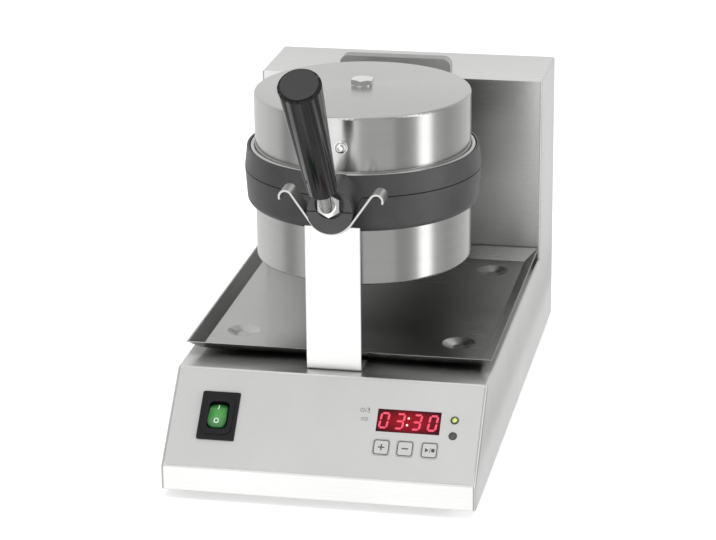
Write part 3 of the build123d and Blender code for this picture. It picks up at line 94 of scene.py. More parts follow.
class Shader:
    """A material's node tree with short ways to add and join nodes."""

    def __init__(self, name):
        self.material = bpy.data.materials.new(name)
        self.material.use_nodes = True
        self.tree = self.material.node_tree
        self.surface = self.tree.nodes["Principled BSDF"]
        self.place = self.add("ShaderNodeTexCoord").outputs["Object"]

    def add(self, kind, **settings):
        node = self.tree.nodes.new(kind)
        for key, value in settings.items():
            setattr(node, key, value)
        return node

    def join(self, source, target):
        self.tree.links.new(source, target)

    def put(self, **values):
        for key, value in values.items():
            self.surface.inputs[key.replace("_", " ")].default_value = value

    def noise(self, scale, stretch=(1, 1, 1), detail=4.0, rough=0.6, turn=(0, 0, 0)):
        """Noise over the object's place, finer along an axis the larger its stretch."""
        mapping = self.add("ShaderNodeMapping")
        mapping.inputs["Scale"].default_value = stretch
        mapping.inputs["Rotation"].default_value = turn
        self.join(self.place, mapping.inputs["Vector"])
        noise = self.add("ShaderNodeTexNoise")
        noise.inputs["Scale"].default_value = scale
        noise.inputs["Detail"].default_value = detail
        noise.inputs["Roughness"].default_value = rough
        self.join(mapping.outputs["Vector"], noise.inputs["Vector"])
        return noise.outputs["Fac"]

    def spun_noise(self, scale, fine, slow, detail=3.0, rough=0.7):
        """Noise in fine rings about the head's upright middle, for a cover turned on a lathe."""
        level = self.add("ShaderNodeMapping")
        level.inputs["Location"].default_value = (-HEAD.x, -HEAD.y, 0)
        self.join(self.place, level.inputs["Vector"])
        flat = self.add("ShaderNodeMapping")
        flat.inputs["Scale"].default_value = (1, 1, 0)
        self.join(level.outputs["Vector"], flat.inputs["Vector"])
        radius = self.add("ShaderNodeVectorMath", operation="LENGTH")
        self.join(flat.outputs["Vector"], radius.inputs[0])
        stretched = self.add("ShaderNodeMapping")
        stretched.inputs["Scale"].default_value = (slow, slow, fine)
        self.join(level.outputs["Vector"], stretched.inputs["Vector"])
        noise = self.add("ShaderNodeTexNoise", noise_dimensions="4D")
        noise.inputs["Scale"].default_value = scale
        noise.inputs["Detail"].default_value = detail
        noise.inputs["Roughness"].default_value = rough
        self.join(stretched.outputs["Vector"], noise.inputs["Vector"])
        self.join(self.maths("MULTIPLY", radius.outputs["Value"], fine), noise.inputs["W"])
        return noise.outputs["Fac"]

    def span(self, value, low, high, start=0.3, end=0.7):
        """Value that goes from low to high while the given one goes from start to end."""
        node = self.add("ShaderNodeMapRange")
        node.inputs["From Min"].default_value = start
        node.inputs["From Max"].default_value = end
        node.inputs["To Min"].default_value = low
        node.inputs["To Max"].default_value = high
        self.join(value, node.inputs["Value"])
        return node.outputs["Result"]

    def maths(self, operation, a, b):
        node = self.add("ShaderNodeMath", operation=operation)
        for socket, value in zip(node.inputs, (a, b)):
            if isinstance(value, (int, float)):
                socket.default_value = value
            else:
                self.join(value, socket)
        return node.outputs["Value"]

    def tint(self, fac, dark, light):
        node = self.add("ShaderNodeMix", data_type="RGBA")
        self.join(fac, node.inputs["Factor"])
        node.inputs["A"].default_value = (*dark, 1)
        node.inputs["B"].default_value = (*light, 1)
        return node.outputs["Result"]

    def bump(self, height, strength, distance, normal=None):
        node = self.add("ShaderNodeBump")
        node.inputs["Strength"].default_value = strength
        node.inputs["Distance"].default_value = distance
        self.join(height, node.inputs["Height"])
        if normal is not None:
            self.join(normal, node.inputs["Normal"])
        self.join(node.outputs["Normal"], self.surface.inputs["Normal"])

    def painted_nook_shade(self, colour, factor, reach=0.16):
        """Painted shade: colour that falls to a share of itself in nooks, though not near the
        floor.
        """
        opened = self.add("ShaderNodeAmbientOcclusion", samples=8)
        opened.inputs["Distance"].default_value = reach
        share = self.span(opened.outputs["AO"], factor, 1.0, *NOOK_OPENNESS)
        parts = self.add("ShaderNodeSeparateXYZ")
        self.join(self.place, parts.inputs["Vector"])
        share = self.maths("MAXIMUM", share, self.span(parts.outputs["Z"], 1.0, 0.0, *FLOOR_FADE))
        return self.times(colour, share)

    def painted_slope_light(self, colour, factor):
        """Painted light: colour that rises to a multiple of itself where the sheet is bent off the
        level.
        """
        facing = self.add("ShaderNodeNewGeometry")
        parts = self.add("ShaderNodeSeparateXYZ")
        self.join(facing.outputs["Normal"], parts.inputs["Vector"])
        return self.times(colour, self.span(parts.outputs["Z"], factor, 1.0, *LEVEL_FACING))

    def times(self, colour, share):
        node = self.add("ShaderNodeMix", data_type="RGBA", blend_type="MULTIPLY")
        node.inputs["Factor"].default_value = 1.0
        self.join(colour, node.inputs["A"])
        self.join(share, node.inputs["B"])
        return node.outputs["Result"]

    def soft_edges(self, radius):
        node = self.add("ShaderNodeBevel", samples=4)
        node.inputs["Radius"].default_value = radius
        return node.outputs["Normal"]


def shade(value, factor):
    """Colour times a factor, with no channel past 1."""
    return tuple(min(1.0, channel * factor) for channel in value)


def brushed(name, base, rough, grain, anisotropy=0.0, edge=0.0006, streaks=0.10, hand=0.05,
            nook_shade=1.0, slope_light=1.0):
    """Brushed steel: fine long scratches along the grain, soft handling marks and eased edges.

    grain is a direction of GRAINS or "spun", about the head's middle; streaks and hand are the
    strengths of scratches and marks; nook_shade below 1 paints shade into nooks, and slope_light
    above 1 paints light where the sheet is bent off the level.
    """
    s = Shader(name)
    if grain == "spun":
        fine = s.spun_noise(SCRATCH, 160, 4)
        broad = s.spun_noise(STREAK, 60, 1.5, 2.0, 0.5)
    else:
        fine = s.noise(SCRATCH, GRAINS[grain], 3.0, 0.7)
        broad = s.noise(STREAK, tuple(max(1.0, v / 9) for v in GRAINS[grain]), 2.0, 0.5)
    marks = s.noise(HANDLING, (1, 1, 1), 3.0, 0.55)
    mixed = s.maths("ADD", s.maths("MULTIPLY", fine, 0.6), s.maths("MULTIPLY", broad, 0.4))
    contrast = s.span(mixed, 0, 1, 0.36, 0.64)
    colour = s.tint(contrast, shade(base, 1 - streaks), shade(base, 1 + streaks * 0.6))
    # Shade painted into the colour in nooks
    if nook_shade < 1:
        colour = s.painted_nook_shade(colour, nook_shade)
    # Light painted into the colour where the sheet is bent off the level
    if slope_light > 1:
        colour = s.painted_slope_light(colour, slope_light)
    s.join(colour, s.surface.inputs["Base Color"])
    low = s.span(fine, rough - streaks / 2, rough + streaks / 2)
    s.join(s.maths("ADD", low, s.span(marks, -hand, hand)), s.surface.inputs["Roughness"])
    s.put(Metallic=1.0)
    if anisotropy:
        s.put(Anisotropic=anisotropy, Anisotropic_Rotation=0.25)
        tangent = s.add("ShaderNodeTangent", direction_type="RADIAL", axis="Z")
        s.join(tangent.outputs["Tangent"], s.surface.inputs["Tangent"])
    s.bump(fine, streaks / 2, 0.0002, s.soft_edges(edge) if edge else None)
    return s


def cast(name, base, rough, grain_size=1400.0, strength=0.22):
    """Coated casting: fine pebbled skin and soft blotches."""
    s = Shader(name)
    grains = s.noise(grain_size, (1, 1, 1), 3.0, 0.65)
    blotch = s.noise(BLOTCH, (1, 1, 1), 4.0, 0.55)
    mixed = s.maths("ADD", s.maths("MULTIPLY", grains, 0.35), s.maths("MULTIPLY", blotch, 0.65))
    s.join(s.tint(s.span(mixed, 0, 1, 0.38, 0.62), shade(base, 0.85), shade(base, 1.15)),
           s.surface.inputs["Base Color"])
    s.join(s.span(blotch, rough - 0.06, rough + 0.07), s.surface.inputs["Roughness"])
    s.put(Metallic=0.35)
    s.bump(grains, strength, 0.0003, s.soft_edges(0.0007))
    return s


def moulded(name, base, rough, grain_size=2600.0, strength=0.08, coat=0.0, edge=0.0004,
            cloudy=0.07):
    """Moulded or painted surface with a fine grain and a faintly uneven colour and gloss."""
    s = Shader(name)
    grains = s.noise(grain_size, (1, 1, 1), 2.0, 0.6)
    cloud = s.noise(40.0, (1, 1, 1), 3.0, 0.5)
    colour = s.tint(s.span(cloud, 0, 1), shade(base, 1 - cloudy), shade(base, 1 + cloudy))
    s.join(colour, s.surface.inputs["Base Color"])
    low, high = max(0.02, rough - cloudy / 2), rough + cloudy / 2
    s.join(s.span(cloud, low, high), s.surface.inputs["Roughness"])
    s.put(Coat_Weight=coat, Coat_Roughness=COAT_ROUGHNESS)
    s.bump(grains, strength, 0.0001, s.soft_edges(edge))
    return s


def fluted(name, base, rough):
    """Polished dark thermoset whose lengthwise flow lines break its reflections into streaks."""
    s = Shader(name)
    bottom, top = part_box("handle_grip")
    middle = (bottom + top) / 2
    lean = math.atan2(top.z - bottom.z, top.y - bottom.y) - math.pi / 2
    level = s.add("ShaderNodeMapping", vector_type="TEXTURE")
    level.inputs["Location"].default_value = middle
    level.inputs["Rotation"].default_value = (-lean, 0, 0)
    s.join(s.place, level.inputs["Vector"])
    parts = s.add("ShaderNodeSeparateXYZ")
    s.join(level.outputs["Vector"], parts.inputs["Vector"])
    angle = s.maths("ARCTAN2", parts.outputs["X"], parts.outputs["Y"])
    lines = s.add("ShaderNodeTexNoise", noise_dimensions="1D")
    lines.inputs["Scale"].default_value = FLOW_SCALE
    lines.inputs["Detail"].default_value = 1.0
    s.join(angle, lines.inputs["W"])
    s.put(Base_Color=(*base, 1), Specular_IOR_Level=0.32)
    s.join(s.span(s.noise(60.0), rough - 0.02, rough + 0.03), s.surface.inputs["Roughness"])
    s.bump(lines.outputs["Fac"], 1.0, FLOW_DEPTH)
    return s


def lit_lens(name, middle, rim, rough, reach=(0.0077, 0.011), centre=(0, 0, 0), start=0.25,
             end=1.15):
    """Translucent moulded lens, brightest in its middle and deep at its rim.

    reach is the half size in metres along x, y and perhaps z; the colour falls from middle to rim
    between start and end, as shares of the reach.
    """
    s = Shader(name)
    scale = (1 / reach[0], 1 / reach[1], 0 if len(reach) == 2 else 1 / reach[2])
    level = s.add("ShaderNodeMapping")
    level.inputs["Scale"].default_value = scale
    level.inputs["Location"].default_value = [-a * b for a, b in zip(scale, centre)]
    s.join(s.place, level.inputs["Vector"])
    distance = s.add("ShaderNodeVectorMath", operation="LENGTH")
    s.join(level.outputs["Vector"], distance.inputs[0])
    uneven = s.maths("ADD", distance.outputs["Value"], s.span(s.noise(450.0), -0.10, 0.10))
    s.join(s.tint(s.span(uneven, 0, 1, start, end), middle, rim), s.surface.inputs["Base Color"])
    s.put(Roughness=rough, Coat_Weight=0.3, Coat_Roughness=COAT_ROUGHNESS)
    return s


def glowing(name, base, strength, rough=0.3):
    """Moulded surface that gives light of its own."""
    s = moulded(name, base, rough, 1800.0, 0.04)
    s.put(Emission_Color=(*base, 1), Emission_Strength=strength)
    return s


def fibre(name, base):
    """Mineral wool: tangled short fibres."""
    s = Shader(name)
    long_way = s.noise(420.0, (1, 7, 1), 4.0, 0.7, (0.3, 0.2, 0.6))
    cross_way = s.noise(420.0, (7, 1, 2), 4.0, 0.7, (0.1, 0.5, 0.2))
    mixed = s.maths("MAXIMUM", long_way, cross_way)
    colour = s.tint(s.span(mixed, 0, 1), shade(base, 0.7), shade(base, 1.15))
    s.join(colour, s.surface.inputs["Base Color"])
    s.put(Roughness=0.95)
    s.bump(mixed, 0.8, 0.001)
    return s


# The housing's colour has shade painted into its nooks
housing = brushed("housing_steel", (0.83, 0.83, 0.82), 0.30, "x", 0.55, streaks=0.065, hand=0.03,
                  nook_shade=0.38)
cover_steel = brushed("cover_steel", (0.62, 0.62, 0.61), 0.21, "spun", 0.72, streaks=0.04,
                      hand=0.015)
# The tray's colour has shade painted into its nooks and light painted onto its bent lips
tray_steel = brushed("tray_steel", (0.53, 0.53, 0.52), 0.24, "x", streaks=0.04, hand=0.04,
                     nook_shade=0.85, slope_light=1.8)
post_steel = brushed("post_steel", (0.92, 0.92, 0.91), 0.34, "z", streaks=0.02, hand=0.02)
strip_steel = brushed("cradle_steel", (0.66, 0.66, 0.65), 0.30, "y", edge=0.0004)
turned_steel = brushed("turned_steel", (0.60, 0.60, 0.59), 0.22, "ring", edge=0.0004)
bright = brushed("bright_fixings", (0.94, 0.94, 0.93), 0.22, "ring", edge=0.0003, streaks=0.04)
sheath = brushed("heater_sheath", (0.22, 0.21, 0.20), 0.42, "ring", edge=0.0)
casting = cast("cast_grey", (0.058, 0.058, 0.058), 0.40)
bronze = brushed("bearing_bronze", (0.58, 0.38, 0.18), 0.30, "ring", edge=0.0004)
wool = fibre("mineral_wool", (0.72, 0.70, 0.64))
grip_black = fluted("grip_black", (0.006, 0.006, 0.006), 0.09)
black_matte = moulded("black_matte", (0.028, 0.028, 0.030), 0.42, 2600.0, 0.12)
bezel_black = moulded("bezel_black", (0.009, 0.009, 0.010), 0.36, 2600.0, 0.12)
bezel_black.put(Specular_IOR_Level=0.22)
bracket_grey = moulded("bracket_grey", (0.25, 0.25, 0.245), 0.44, 1500.0, 0.10)
cap_matte = moulded("cap_matte", (0.030, 0.030, 0.030), 0.38, 1500.0, 0.10)
rubber = moulded("foot_rubber", (0.02, 0.02, 0.02), 0.75, 1800.0, 0.25)
foil = moulded("panel_foil", (0.43, 0.43, 0.425), 0.46, 3200.0, 0.10, edge=0.0, cloudy=0.015)
window = lit_lens("dark_window", (0.22, 0.002, 0.009), (0.035, 0.002, 0.005), 0.22,
                  (0.0285, 0.0112, 0.0112), panel_place(WINDOW_X, WINDOW_S).translation, 0.35, 1.0)
window.put(Specular_IOR_Level=0.12, Coat_Weight=0.0)
paddle_green = lit_lens("green_paddle", (0.045, 0.26, 0.045), (0.008, 0.075, 0.014), 0.22)
lens_lit = lit_lens("green_lens", (0.52, 0.62, 0.16), (0.022, 0.026, 0.014), 0.25,
                    (0.0031, 0.0031, 0.0031), panel_place(LAMP_X, UPPER_LAMP_S, 0.6).translation,
                    0.45, 0.85)
lens_dark = moulded("dark_lens", (0.05, 0.055, 0.05), 0.25, 1800.0, 0.03, coat=0.4)
board = moulded("board_green", (0.03, 0.18, 0.07), 0.38, 700.0, 0.12)
part_black = moulded("component_black", (0.05, 0.05, 0.055), 0.45, 1800.0, 0.15)
part_pale = moulded("component_pale", (0.70, 0.69, 0.64), 0.42, 1800.0, 0.12)
figure_red = glowing("figure_red", (0.60, 0.05, 0.09), 0.38)
colon_pale = glowing("colon_pale", (1.0, 0.62, 0.52), 1.0)
print_dark = moulded("print_dark", (0.045, 0.045, 0.045), 0.5, 2600.0, 0.05, edge=0.0)
print_white = moulded("print_white", (0.66, 0.74, 0.66), 0.4, 2600.0, 0.05, edge=0.0)

finishes = {
    housing: ["base_shell", "rear_panel", "bottom_plate"],
    cover_steel: ["upper_cover", "lower_cover"],
    tray_steel: ["drip_tray"],
    post_steel: ["post"],
    strip_steel: ["cradle"],
    bracket_grey: ["bearing_bracket"],
    turned_steel: ["head_shaft", "shaft_collar", "rotation_stops", "inner_bearing_plate",
                   "hinge_pin", "pin_clips", "plate_sensor", "handle_rod"],
    bright: ["case_screws", "case_nuts", "shaft_fixings", "upper_bolt", "lower_bolt",
             "upper_side_screw", "lower_side_screw", "lock_nut", "post_studs", "board_standoffs"],
    sheath: ["upper_heater", "lower_heater"],
    casting: ["upper_casting", "lower_casting", "upper_plate", "lower_plate"],
    bronze: ["shaft_bushes"],
    wool: ["upper_insulation", "lower_insulation"],
    grip_black: ["handle_grip"],
    cap_matte: ["grip_cap"],
    black_matte: ["cord_gland", "gland_nut", "safety_thermostat"],
    bezel_black: ["switch_bezel"],
    rubber: ["foot_front_left", "foot_front_right", "foot_rear_left", "foot_rear_right"],
    foil: ["control_overlay", "key_minus", "key_plus", "key_start"],
    window: ["display_window"],
    paddle_green: ["rocker_paddle"],
    lens_lit: ["led_heat"],
    lens_dark: ["led_ready"],
    board: ["control_board", "power_board"],
    part_black: ["display_module", "tact_switches", "power_components"],
    part_pale: ["terminal_block"],
}
SHARP_FROM = math.radians(28)
for shader, names in finishes.items():
    for name in names:
        mesh = nodes[name].data
        mesh.materials.clear()
        mesh.materials.append(shader.material)
        mesh.shade_smooth()
        mesh.set_sharp_from_angle(angle=SHARP_FROM)


# Pieces that only show


def outline(name, loops, thickness, place, body, shader, round_by=0.0):
    """Flat raised shape from closed loops of millimetre points; a loop inside another is a hole.

    thickness is its height and round_by the rounding of its edges, in millimetres.
    """
    curve = bpy.data.curves.new(name, "CURVE")
    curve.dimensions = "2D"
    curve.fill_mode = "BOTH"
    curve.extrude = thickness * MM / 2
    curve.bevel_depth = round_by * MM
    curve.bevel_resolution = 2
    for loop in loops:
        spline = curve.splines.new("POLY")
        spline.points.add(len(loop) - 1)
        for point, (x, y) in zip(spline.points, loop):
            point.co = (x * MM, y * MM, 0, 1)
        spline.use_cyclic_u = True
    holder = bpy.data.objects.new(name + "_outline", curve)
    bpy.context.scene.collection.objects.link(holder)
    bpy.context.view_layer.update()
    evaluated = holder.evaluated_get(bpy.context.evaluated_depsgraph_get())
    mesh = bpy.data.meshes.new_from_object(evaluated)
    bpy.data.objects.remove(holder)
    mesh.name = name
    mesh.materials.clear()
    mesh.materials.append(shader.material)
    piece = bpy.data.objects.new(name, mesh)
    piece.matrix_world = place
    bpy.context.scene.collection.objects.link(piece)
    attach(piece, body)


def rounded(width, length, radius, x=0.0, y=0.0, steps=8):
    """Loop of a rounded rectangle with its middle at x, y."""
    points = []
    for corner, (a, b) in enumerate(((1, 1), (-1, 1), (-1, -1), (1, -1))):
        for step in range(steps + 1):
            angle = math.radians(90 * (corner + step / steps))
            points.append((
                x + a * (width / 2 - radius) + radius * math.cos(angle),
                y + b * (length / 2 - radius) + radius * math.sin(angle),
            ))
    return points


def ring(radius, x=0.0, y=0.0, steps=40):
    """Loop of a circle with its middle at x, y."""
    return [
        (x + radius * math.cos(math.tau * i / steps), y + radius * math.sin(math.tau * i / steps))
        for i in range(steps)
    ]


def bar(x0, y0, x1, y1, width):
    """Loop of a straight bar between two points."""
    length = math.hypot(x1 - x0, y1 - y0)
    nx, ny = -(y1 - y0) / length * width / 2, (x1 - x0) / length * width / 2
    return [(x0 + nx, y0 + ny), (x0 - nx, y0 - ny), (x1 - nx, y1 - ny), (x1 + nx, y1 + ny)]


# Bars of a seven-bar figure, each from one corner to another, and the bars of the figures shown
SEGMENTS = {
    "a": (0, 2, 1, 2), "b": (1, 2, 1, 1), "c": (1, 1, 1, 0), "d": (0, 0, 1, 0),
    "e": (0, 0, 0, 1), "f": (0, 1, 0, 2), "g": (0, 1, 1, 1),
}
FIGURES = {"0": "abcdef", "3": "abcdg"}
FIGURE_WIDTH, FIGURE_HEIGHT, FIGURE_LEAN, STROKE = 5.9, 12.2, 0.12, 1.75
BAR_GAP, POINT_SHARE = 0.08, 0.8
DISPLAY = (("0", -22.3), ("3", -9.9), ("3", 3.5), ("0", 16.2))
COLON_X, COLON_RISE, COLON_RADIUS = -0.6, 2.9, 0.85


def segment(x0, y0, x1, y1, left):
    """Loop of one bar of a figure, with pointed ends, leaning with the figure."""
    half = STROKE / 2
    gap = BAR_GAP + half
    point = half * POINT_SHARE
    ax, ay = left + x0 * FIGURE_WIDTH, (y0 - 1) * FIGURE_HEIGHT / 2
    bx, by = left + x1 * FIGURE_WIDTH, (y1 - 1) * FIGURE_HEIGHT / 2
    length = math.hypot(bx - ax, by - ay)
    ux, uy = (bx - ax) / length, (by - ay) / length
    points = []
    for along, across in ((gap, -half), (length - gap, -half), (length - gap + point, 0),
                          (length - gap, half), (gap, half), (gap - point, 0)):
        x = ax + ux * along - uy * across
        y = ay + uy * along + ux * across
        points.append((x + y * FIGURE_LEAN, y))
    return points


figure_loops = [
    segment(*SEGMENTS[part], left) for figure, left in DISPLAY for part in FIGURES[figure]
]
face = panel_place(WINDOW_X, WINDOW_S, ON_WINDOW)
outline("display_figures", figure_loops, LIT_BAR, face, "root", figure_red)
colon_loops = [ring(COLON_RADIUS, COLON_X + y * FIGURE_LEAN, y) for y in (-COLON_RISE, COLON_RISE)]
outline("display_colon", colon_loops, LIT_BAR, face, "root", colon_pale)

# Borders and signs on the keys
KEY_BORDER = [rounded(12.4, 12.4, 2.0), rounded(10.9, 10.9, 1.4)]
SIGNS = {
    "minus": [bar(-2.6, 0, 2.6, 0, 1.0)],
    "plus": [[(-2.6, -0.5), (-0.5, -0.5), (-0.5, -2.6), (0.5, -2.6), (0.5, -0.5), (2.6, -0.5),
              (2.6, 0.5), (0.5, 0.5), (0.5, 2.6), (-0.5, 2.6), (-0.5, 0.5), (-2.6, 0.5)]],
    "start": [[(-3.4, -1.9), (-0.6, 0), (-3.4, 1.9)], bar(0.1, -2.1, 0.9, 2.1, 0.4),
              rounded(2.6, 2.9, 0.2, 2.8, 0)],
}
for key, x in KEYS.items():
    top = panel_place(x, KEY_S, ON_KEY)
    cap = "key_" + key + "_cap"
    for kind, loops in (("key_border_", KEY_BORDER), ("key_sign_", SIGNS[key])):
        outline(kind + key, loops, KEY_PRINT, top, cap, print_dark)

# Small printed signs beside the display: a clock, a stroke and a thermometer, below them three dots
CLOCK_X, HAND, BULB_X, BULB_Y = -3.2, 0.3, 1.9, -1.0
clock = [
    ring(1.75, CLOCK_X), ring(1.4, CLOCK_X),
    bar(CLOCK_X, 0, CLOCK_X, 1.15, HAND), bar(CLOCK_X, 0, -2.45, 0, HAND),
    bar(-1.0, -1.8, 0.0, 1.8, HAND),
    ring(1.1, BULB_X, BULB_Y), ring(0.8, BULB_X, BULB_Y), rounded(0.9, 2.6, 0.4, BULB_X, 1.0),
]
dots = [rounded(5.4, 2.6, 0.7), rounded(4.8, 2.0, 0.5)] + [ring(0.35, x) for x in (-1.3, 0, 1.3)]
for name, loops, x, s in (("foil_signs", clock, 32.1, 58.6), ("foil_sign_set", dots, 31.4, 51.1)):
    place = panel_place(x, s, ON_FOIL)
    outline(name, loops, FOIL_PRINT, place, "root", print_dark)

# The switch paddle: its length is an arc, and it rests tilted about its hinge. Sizes in millimetres
PADDLE_WIDTH, PADDLE_LENGTH, PADDLE_CORNER, PADDLE_DEPTH = 15.4, 22.0, 5.0, 6.5
PADDLE_X, PADDLE_RADIUS, PADDLE_CROWN = -0.6, 19.0, 3.6
HINGE_DEPTH, PADDLE_TILT = 3.0, math.radians(-8)
SIGN_LIFT = 0.03

# Soft rim of the paddle: share of its width and length, and drop below the crown
PADDLE_ROWS = [
    (0.05, 0.0), (0.35, 0.0), (0.65, 0.0), (0.84, 0.0), (0.91, 0.10), (0.96, 0.35), (0.99, 0.8),
    (1.0, 1.5), (1.0, PADDLE_DEPTH),
]
pivot = Matrix.Translation((0, 0, -HINGE_DEPTH * MM))
tilt = pivot @ Matrix.Rotation(PADDLE_TILT, 4, "X") @ pivot.inverted()


def crown_height(y):
    """Height of the crowned paddle over the panel, before it tilts."""
    return PADDLE_CROWN - PADDLE_RADIUS + math.sqrt(PADDLE_RADIUS**2 - y**2)


def on_paddle(y):
    """Place on the crowned paddle, y millimetres up from its middle."""
    lean = Matrix.Rotation(-math.asin(y / PADDLE_RADIUS), 4, "X")
    middle = Matrix.Translation((PADDLE_X * MM, y * MM, (crown_height(y) + SIGN_LIFT) * MM))
    return panel_place(SWITCH_X, SWITCH_S) @ tilt @ middle @ lean


def rounded_paddle():
    """The paddle with its round corners and soft rim, crowned along its length."""
    mesh = bmesh.new()
    loops = []
    for scale, drop in PADDLE_ROWS:
        sizes = PADDLE_WIDTH * scale, PADDLE_LENGTH * scale, PADDLE_CORNER * scale
        loop = []
        for x, y in rounded(*sizes, PADDLE_X):
            loop.append(mesh.verts.new((x * MM, y * MM, (crown_height(y) - drop) * MM)))
        loops.append(loop)
    mesh.faces.new(loops[0])
    mesh.faces.new(reversed(loops[-1]))
    for inner, outer in zip(loops, loops[1:]):
        for i in range(len(inner)):
            j = (i + 1) % len(inner)
            mesh.faces.new((inner[i], outer[i], outer[j], inner[j]))
    data = bpy.data.meshes.new("switch_paddle")
    mesh.to_mesh(data)
    mesh.free()
    data.shade_smooth()
    data.materials.append(paddle_green.material)
    piece = bpy.data.objects.new("switch_paddle", data)
    piece.matrix_world = panel_place(SWITCH_X, SWITCH_S) @ tilt
    bpy.context.scene.collection.objects.link(piece)
    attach(piece, "rocker")
    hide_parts("rocker_paddle")


rounded_paddle()

# Signs on the paddle
switch_on, switch_off = [bar(0, -2.5, 0, 2.5, 0.85)], [ring(2.05), ring(1.4)]
for name, loops, y in (("switch_sign_on", switch_on, 6.6), ("switch_sign_off", switch_off, -5.8)):
    outline(name, loops, PADDLE_PRINT, on_paddle(y), "rocker", print_white)

# Raised ridge round the paddle
ridge = [rounded(23.4, 31.6, 6.0), rounded(17.2, 24.4, 5.0)]
place = panel_place(SWITCH_X, SWITCH_S, ON_SWITCH)
outline("switch_ridge", ridge, RIDGE_THICK, place, "root", bezel_black, RIDGE_ROUND)

# Dark collars round the two lamps
collar = [ring(3.2), ring(2.2)]
for name, s in (("lamp_collar_upper", UPPER_LAMP_S), ("lamp_collar_lower", LOWER_LAMP_S)):
    place = panel_place(LAMP_X, s, ON_LAMP)
    outline(name, collar, COLLAR_THICK, place, "root", black_matte, COLLAR_ROUND)

# Floor, lights and camera
FLOOR = 30
floor_corners = [(-FLOOR, -FLOOR, 0), (FLOOR, -FLOOR, 0), (FLOOR, FLOOR, 0), (-FLOOR, FLOOR, 0)]
floor_mesh = bpy.data.meshes.new("floor")
floor_mesh.from_pydata(floor_corners, [], [(0, 1, 2, 3)])
floor = bpy.data.objects.new("floor", floor_mesh)
bpy.context.scene.collection.objects.link(floor)
floor_shader = Shader("floor_paper")
paper = floor_shader.noise(300.0, (1, 1, 1), 3.0, 0.6)
floor_shader.join(
    floor_shader.tint(floor_shader.span(paper, 0, 1), (0.93, 0.93, 0.93), (0.96, 0.96, 0.96)),
    floor_shader.surface.inputs["Base Color"],
)
floor_shader.put(Roughness=0.9, Specular_IOR_Level=0.1)
floor_shader.put(Emission_Color=(1, 1, 1, 1), Emission_Strength=0.25)
floor_mesh.materials.append(floor_shader.material)
floor.visible_glossy = False


def softbox(name, power, size, place, aim, tall=None):
    """Rectangular soft light that points at a place."""
    light = bpy.data.lights.new(name, "AREA")
    light.energy = power
    light.shape = "RECTANGLE"
    light.size = size
    light.size_y = tall or size
    lamp = bpy.data.objects.new(name, light)
    lamp.location = place
    lamp.rotation_mode = "QUATERNION"
    lamp.rotation_quaternion = (Vector(aim) - Vector(place)).to_track_quat("-Z", "Z")
    lamp.visible_camera = False
    lamp.visible_glossy = False
    bpy.context.scene.collection.objects.link(lamp)


# The camera's side of the object in degrees, from which the lights' and the world's azimuths count
VIEW_AZIMUTH, VIEW_ELEVATION, VIEW_ROLL = 11.486, 19.128, -0.617


def around(azimuth, distance, height):
    """Point at an azimuth to the right of the camera's side, seen from the object."""
    angle = math.radians(azimuth + VIEW_AZIMUTH)
    return distance * math.sin(angle), -distance * math.cos(angle), height


AIM = (0.0, 0.0, 0.16)
softbox("light_top", 16.0, 1.6, (0.2, -0.3, 2.0), AIM)
softbox("light_right", 14.0, 0.36, around(69, 1.5, 0.45), AIM, 1.6)
softbox("light_left", 5.0, 0.9, around(-120, 1.7, 0.7), AIM, 1.4)
softbox("light_front", 7.0, 1.2, around(-22, 1.6, 0.25), (0.0, -0.15, 0.05), 0.5)

# The world: plain white to the camera, and to the object a studio whose brightness goes by azimuth
world = bpy.data.worlds.new("studio")
world.use_nodes = True
bpy.context.scene.world = world
tree = world.node_tree
background = tree.nodes["Background"]
coordinates = tree.nodes.new("ShaderNodeTexCoord")
split = tree.nodes.new("ShaderNodeSeparateXYZ")
tree.links.new(coordinates.outputs["Generated"], split.inputs[0])
turn = tree.nodes.new("ShaderNodeMath")
turn.operation = "ARCTAN2"
tree.links.new(split.outputs["X"], turn.inputs[0])
flip = tree.nodes.new("ShaderNodeMath")
flip.operation = "MULTIPLY"
flip.inputs[1].default_value = -1.0
tree.links.new(split.outputs["Y"], flip.inputs[0])
tree.links.new(flip.outputs[0], turn.inputs[1])
share = tree.nodes.new("ShaderNodeMapRange")
share.inputs["From Min"].default_value = -math.pi
share.inputs["From Max"].default_value = math.pi
tree.links.new(turn.outputs[0], share.inputs["Value"])
bands = tree.nodes.new("ShaderNodeValToRGB")

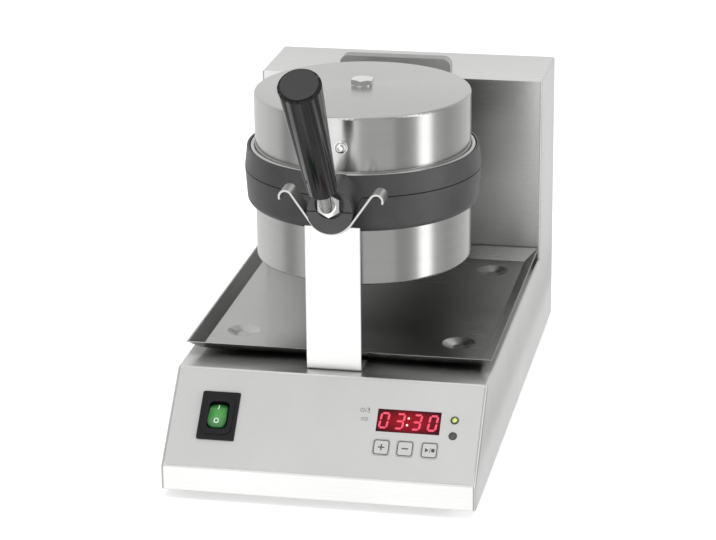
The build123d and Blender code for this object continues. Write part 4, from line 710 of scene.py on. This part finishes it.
# Azimuth in degrees from the camera's side and brightness there
STUDIO = [
    (-165, 0.79), (-130, 0.79), (-115, 0.71), (-100, 0.61), (-90, 0.36), (-82, 0.36), (-76, 0.47),
    (-68, 0.62), (-48, 0.75), (-34, 1.30), (-14, 1.30), (-2, 0.51), (31, 0.51), (36, 0.36),
    (46, 0.36), (54, 0.47), (59, 0.70), (62, 1.50), (69, 1.90), (75, 1.60), (79, 0.70),
    (85, 0.53), (97, 0.42), (104, 0.42), (119, 0.52), (138, 0.65), (165, 0.79),
]
stops = bands.color_ramp.elements
while len(stops) > 1:
    stops.remove(stops[-1])
for index, (azimuth, level) in enumerate(STUDIO):
    position = (azimuth + VIEW_AZIMUTH + 180) / 360
    stop = stops[0] if index == 0 else stops.new(position)
    stop.position = position
    stop.color = (level, level, level, 1)
tree.links.new(share.outputs[0], bands.inputs[0])
path = tree.nodes.new("ShaderNodeLightPath")
pick = tree.nodes.new("ShaderNodeMix")
pick.data_type = "RGBA"
tree.links.new(path.outputs["Is Camera Ray"], pick.inputs["Factor"])
tree.links.new(bands.outputs["Color"], pick.inputs["A"])
pick.inputs["B"].default_value = (1, 1, 1, 1)
tree.links.new(pick.outputs["Result"], background.inputs["Color"])
background.inputs["Strength"].default_value = 1.0

# The camera, as worked out from the photo's straight edges and round rims
FOCAL_PX, WIDTH_PX, SENSOR_MM = 2620.85, 716, 36.0
TARGET = Vector((0.00435, FRONT_Y + 0.150, 0.14605))
DISTANCE = 2.13100
camera_data = bpy.data.cameras.new("camera")
camera = bpy.data.objects.new("camera", camera_data)
bpy.context.scene.collection.objects.link(camera)
bpy.context.scene.camera = camera
azimuth, elevation, roll = (math.radians(v) for v in (VIEW_AZIMUTH, VIEW_ELEVATION, VIEW_ROLL))
flat = math.cos(elevation)
back = Vector((math.sin(azimuth) * flat, -math.cos(azimuth) * flat, math.sin(elevation)))
right = Vector((0, 0, 1)).cross(back).normalized()
up = back.cross(right)
turned_right = right * math.cos(roll) + up * math.sin(roll)
turned_up = up * math.cos(roll) - right * math.sin(roll)
basis = Matrix((turned_right, turned_up, back)).transposed().to_4x4()
camera.matrix_world = Matrix.Translation(TARGET + back * DISTANCE) @ basis
camera_data.sensor_width = SENSOR_MM
camera_data.sensor_fit = "HORIZONTAL"
camera_data.lens = FOCAL_PX / WIDTH_PX * SENSOR_MM
camera_data.clip_start = 0.1
camera_data.clip_end = 100.0
bpy.context.scene.view_settings.view_transform = "Standard"
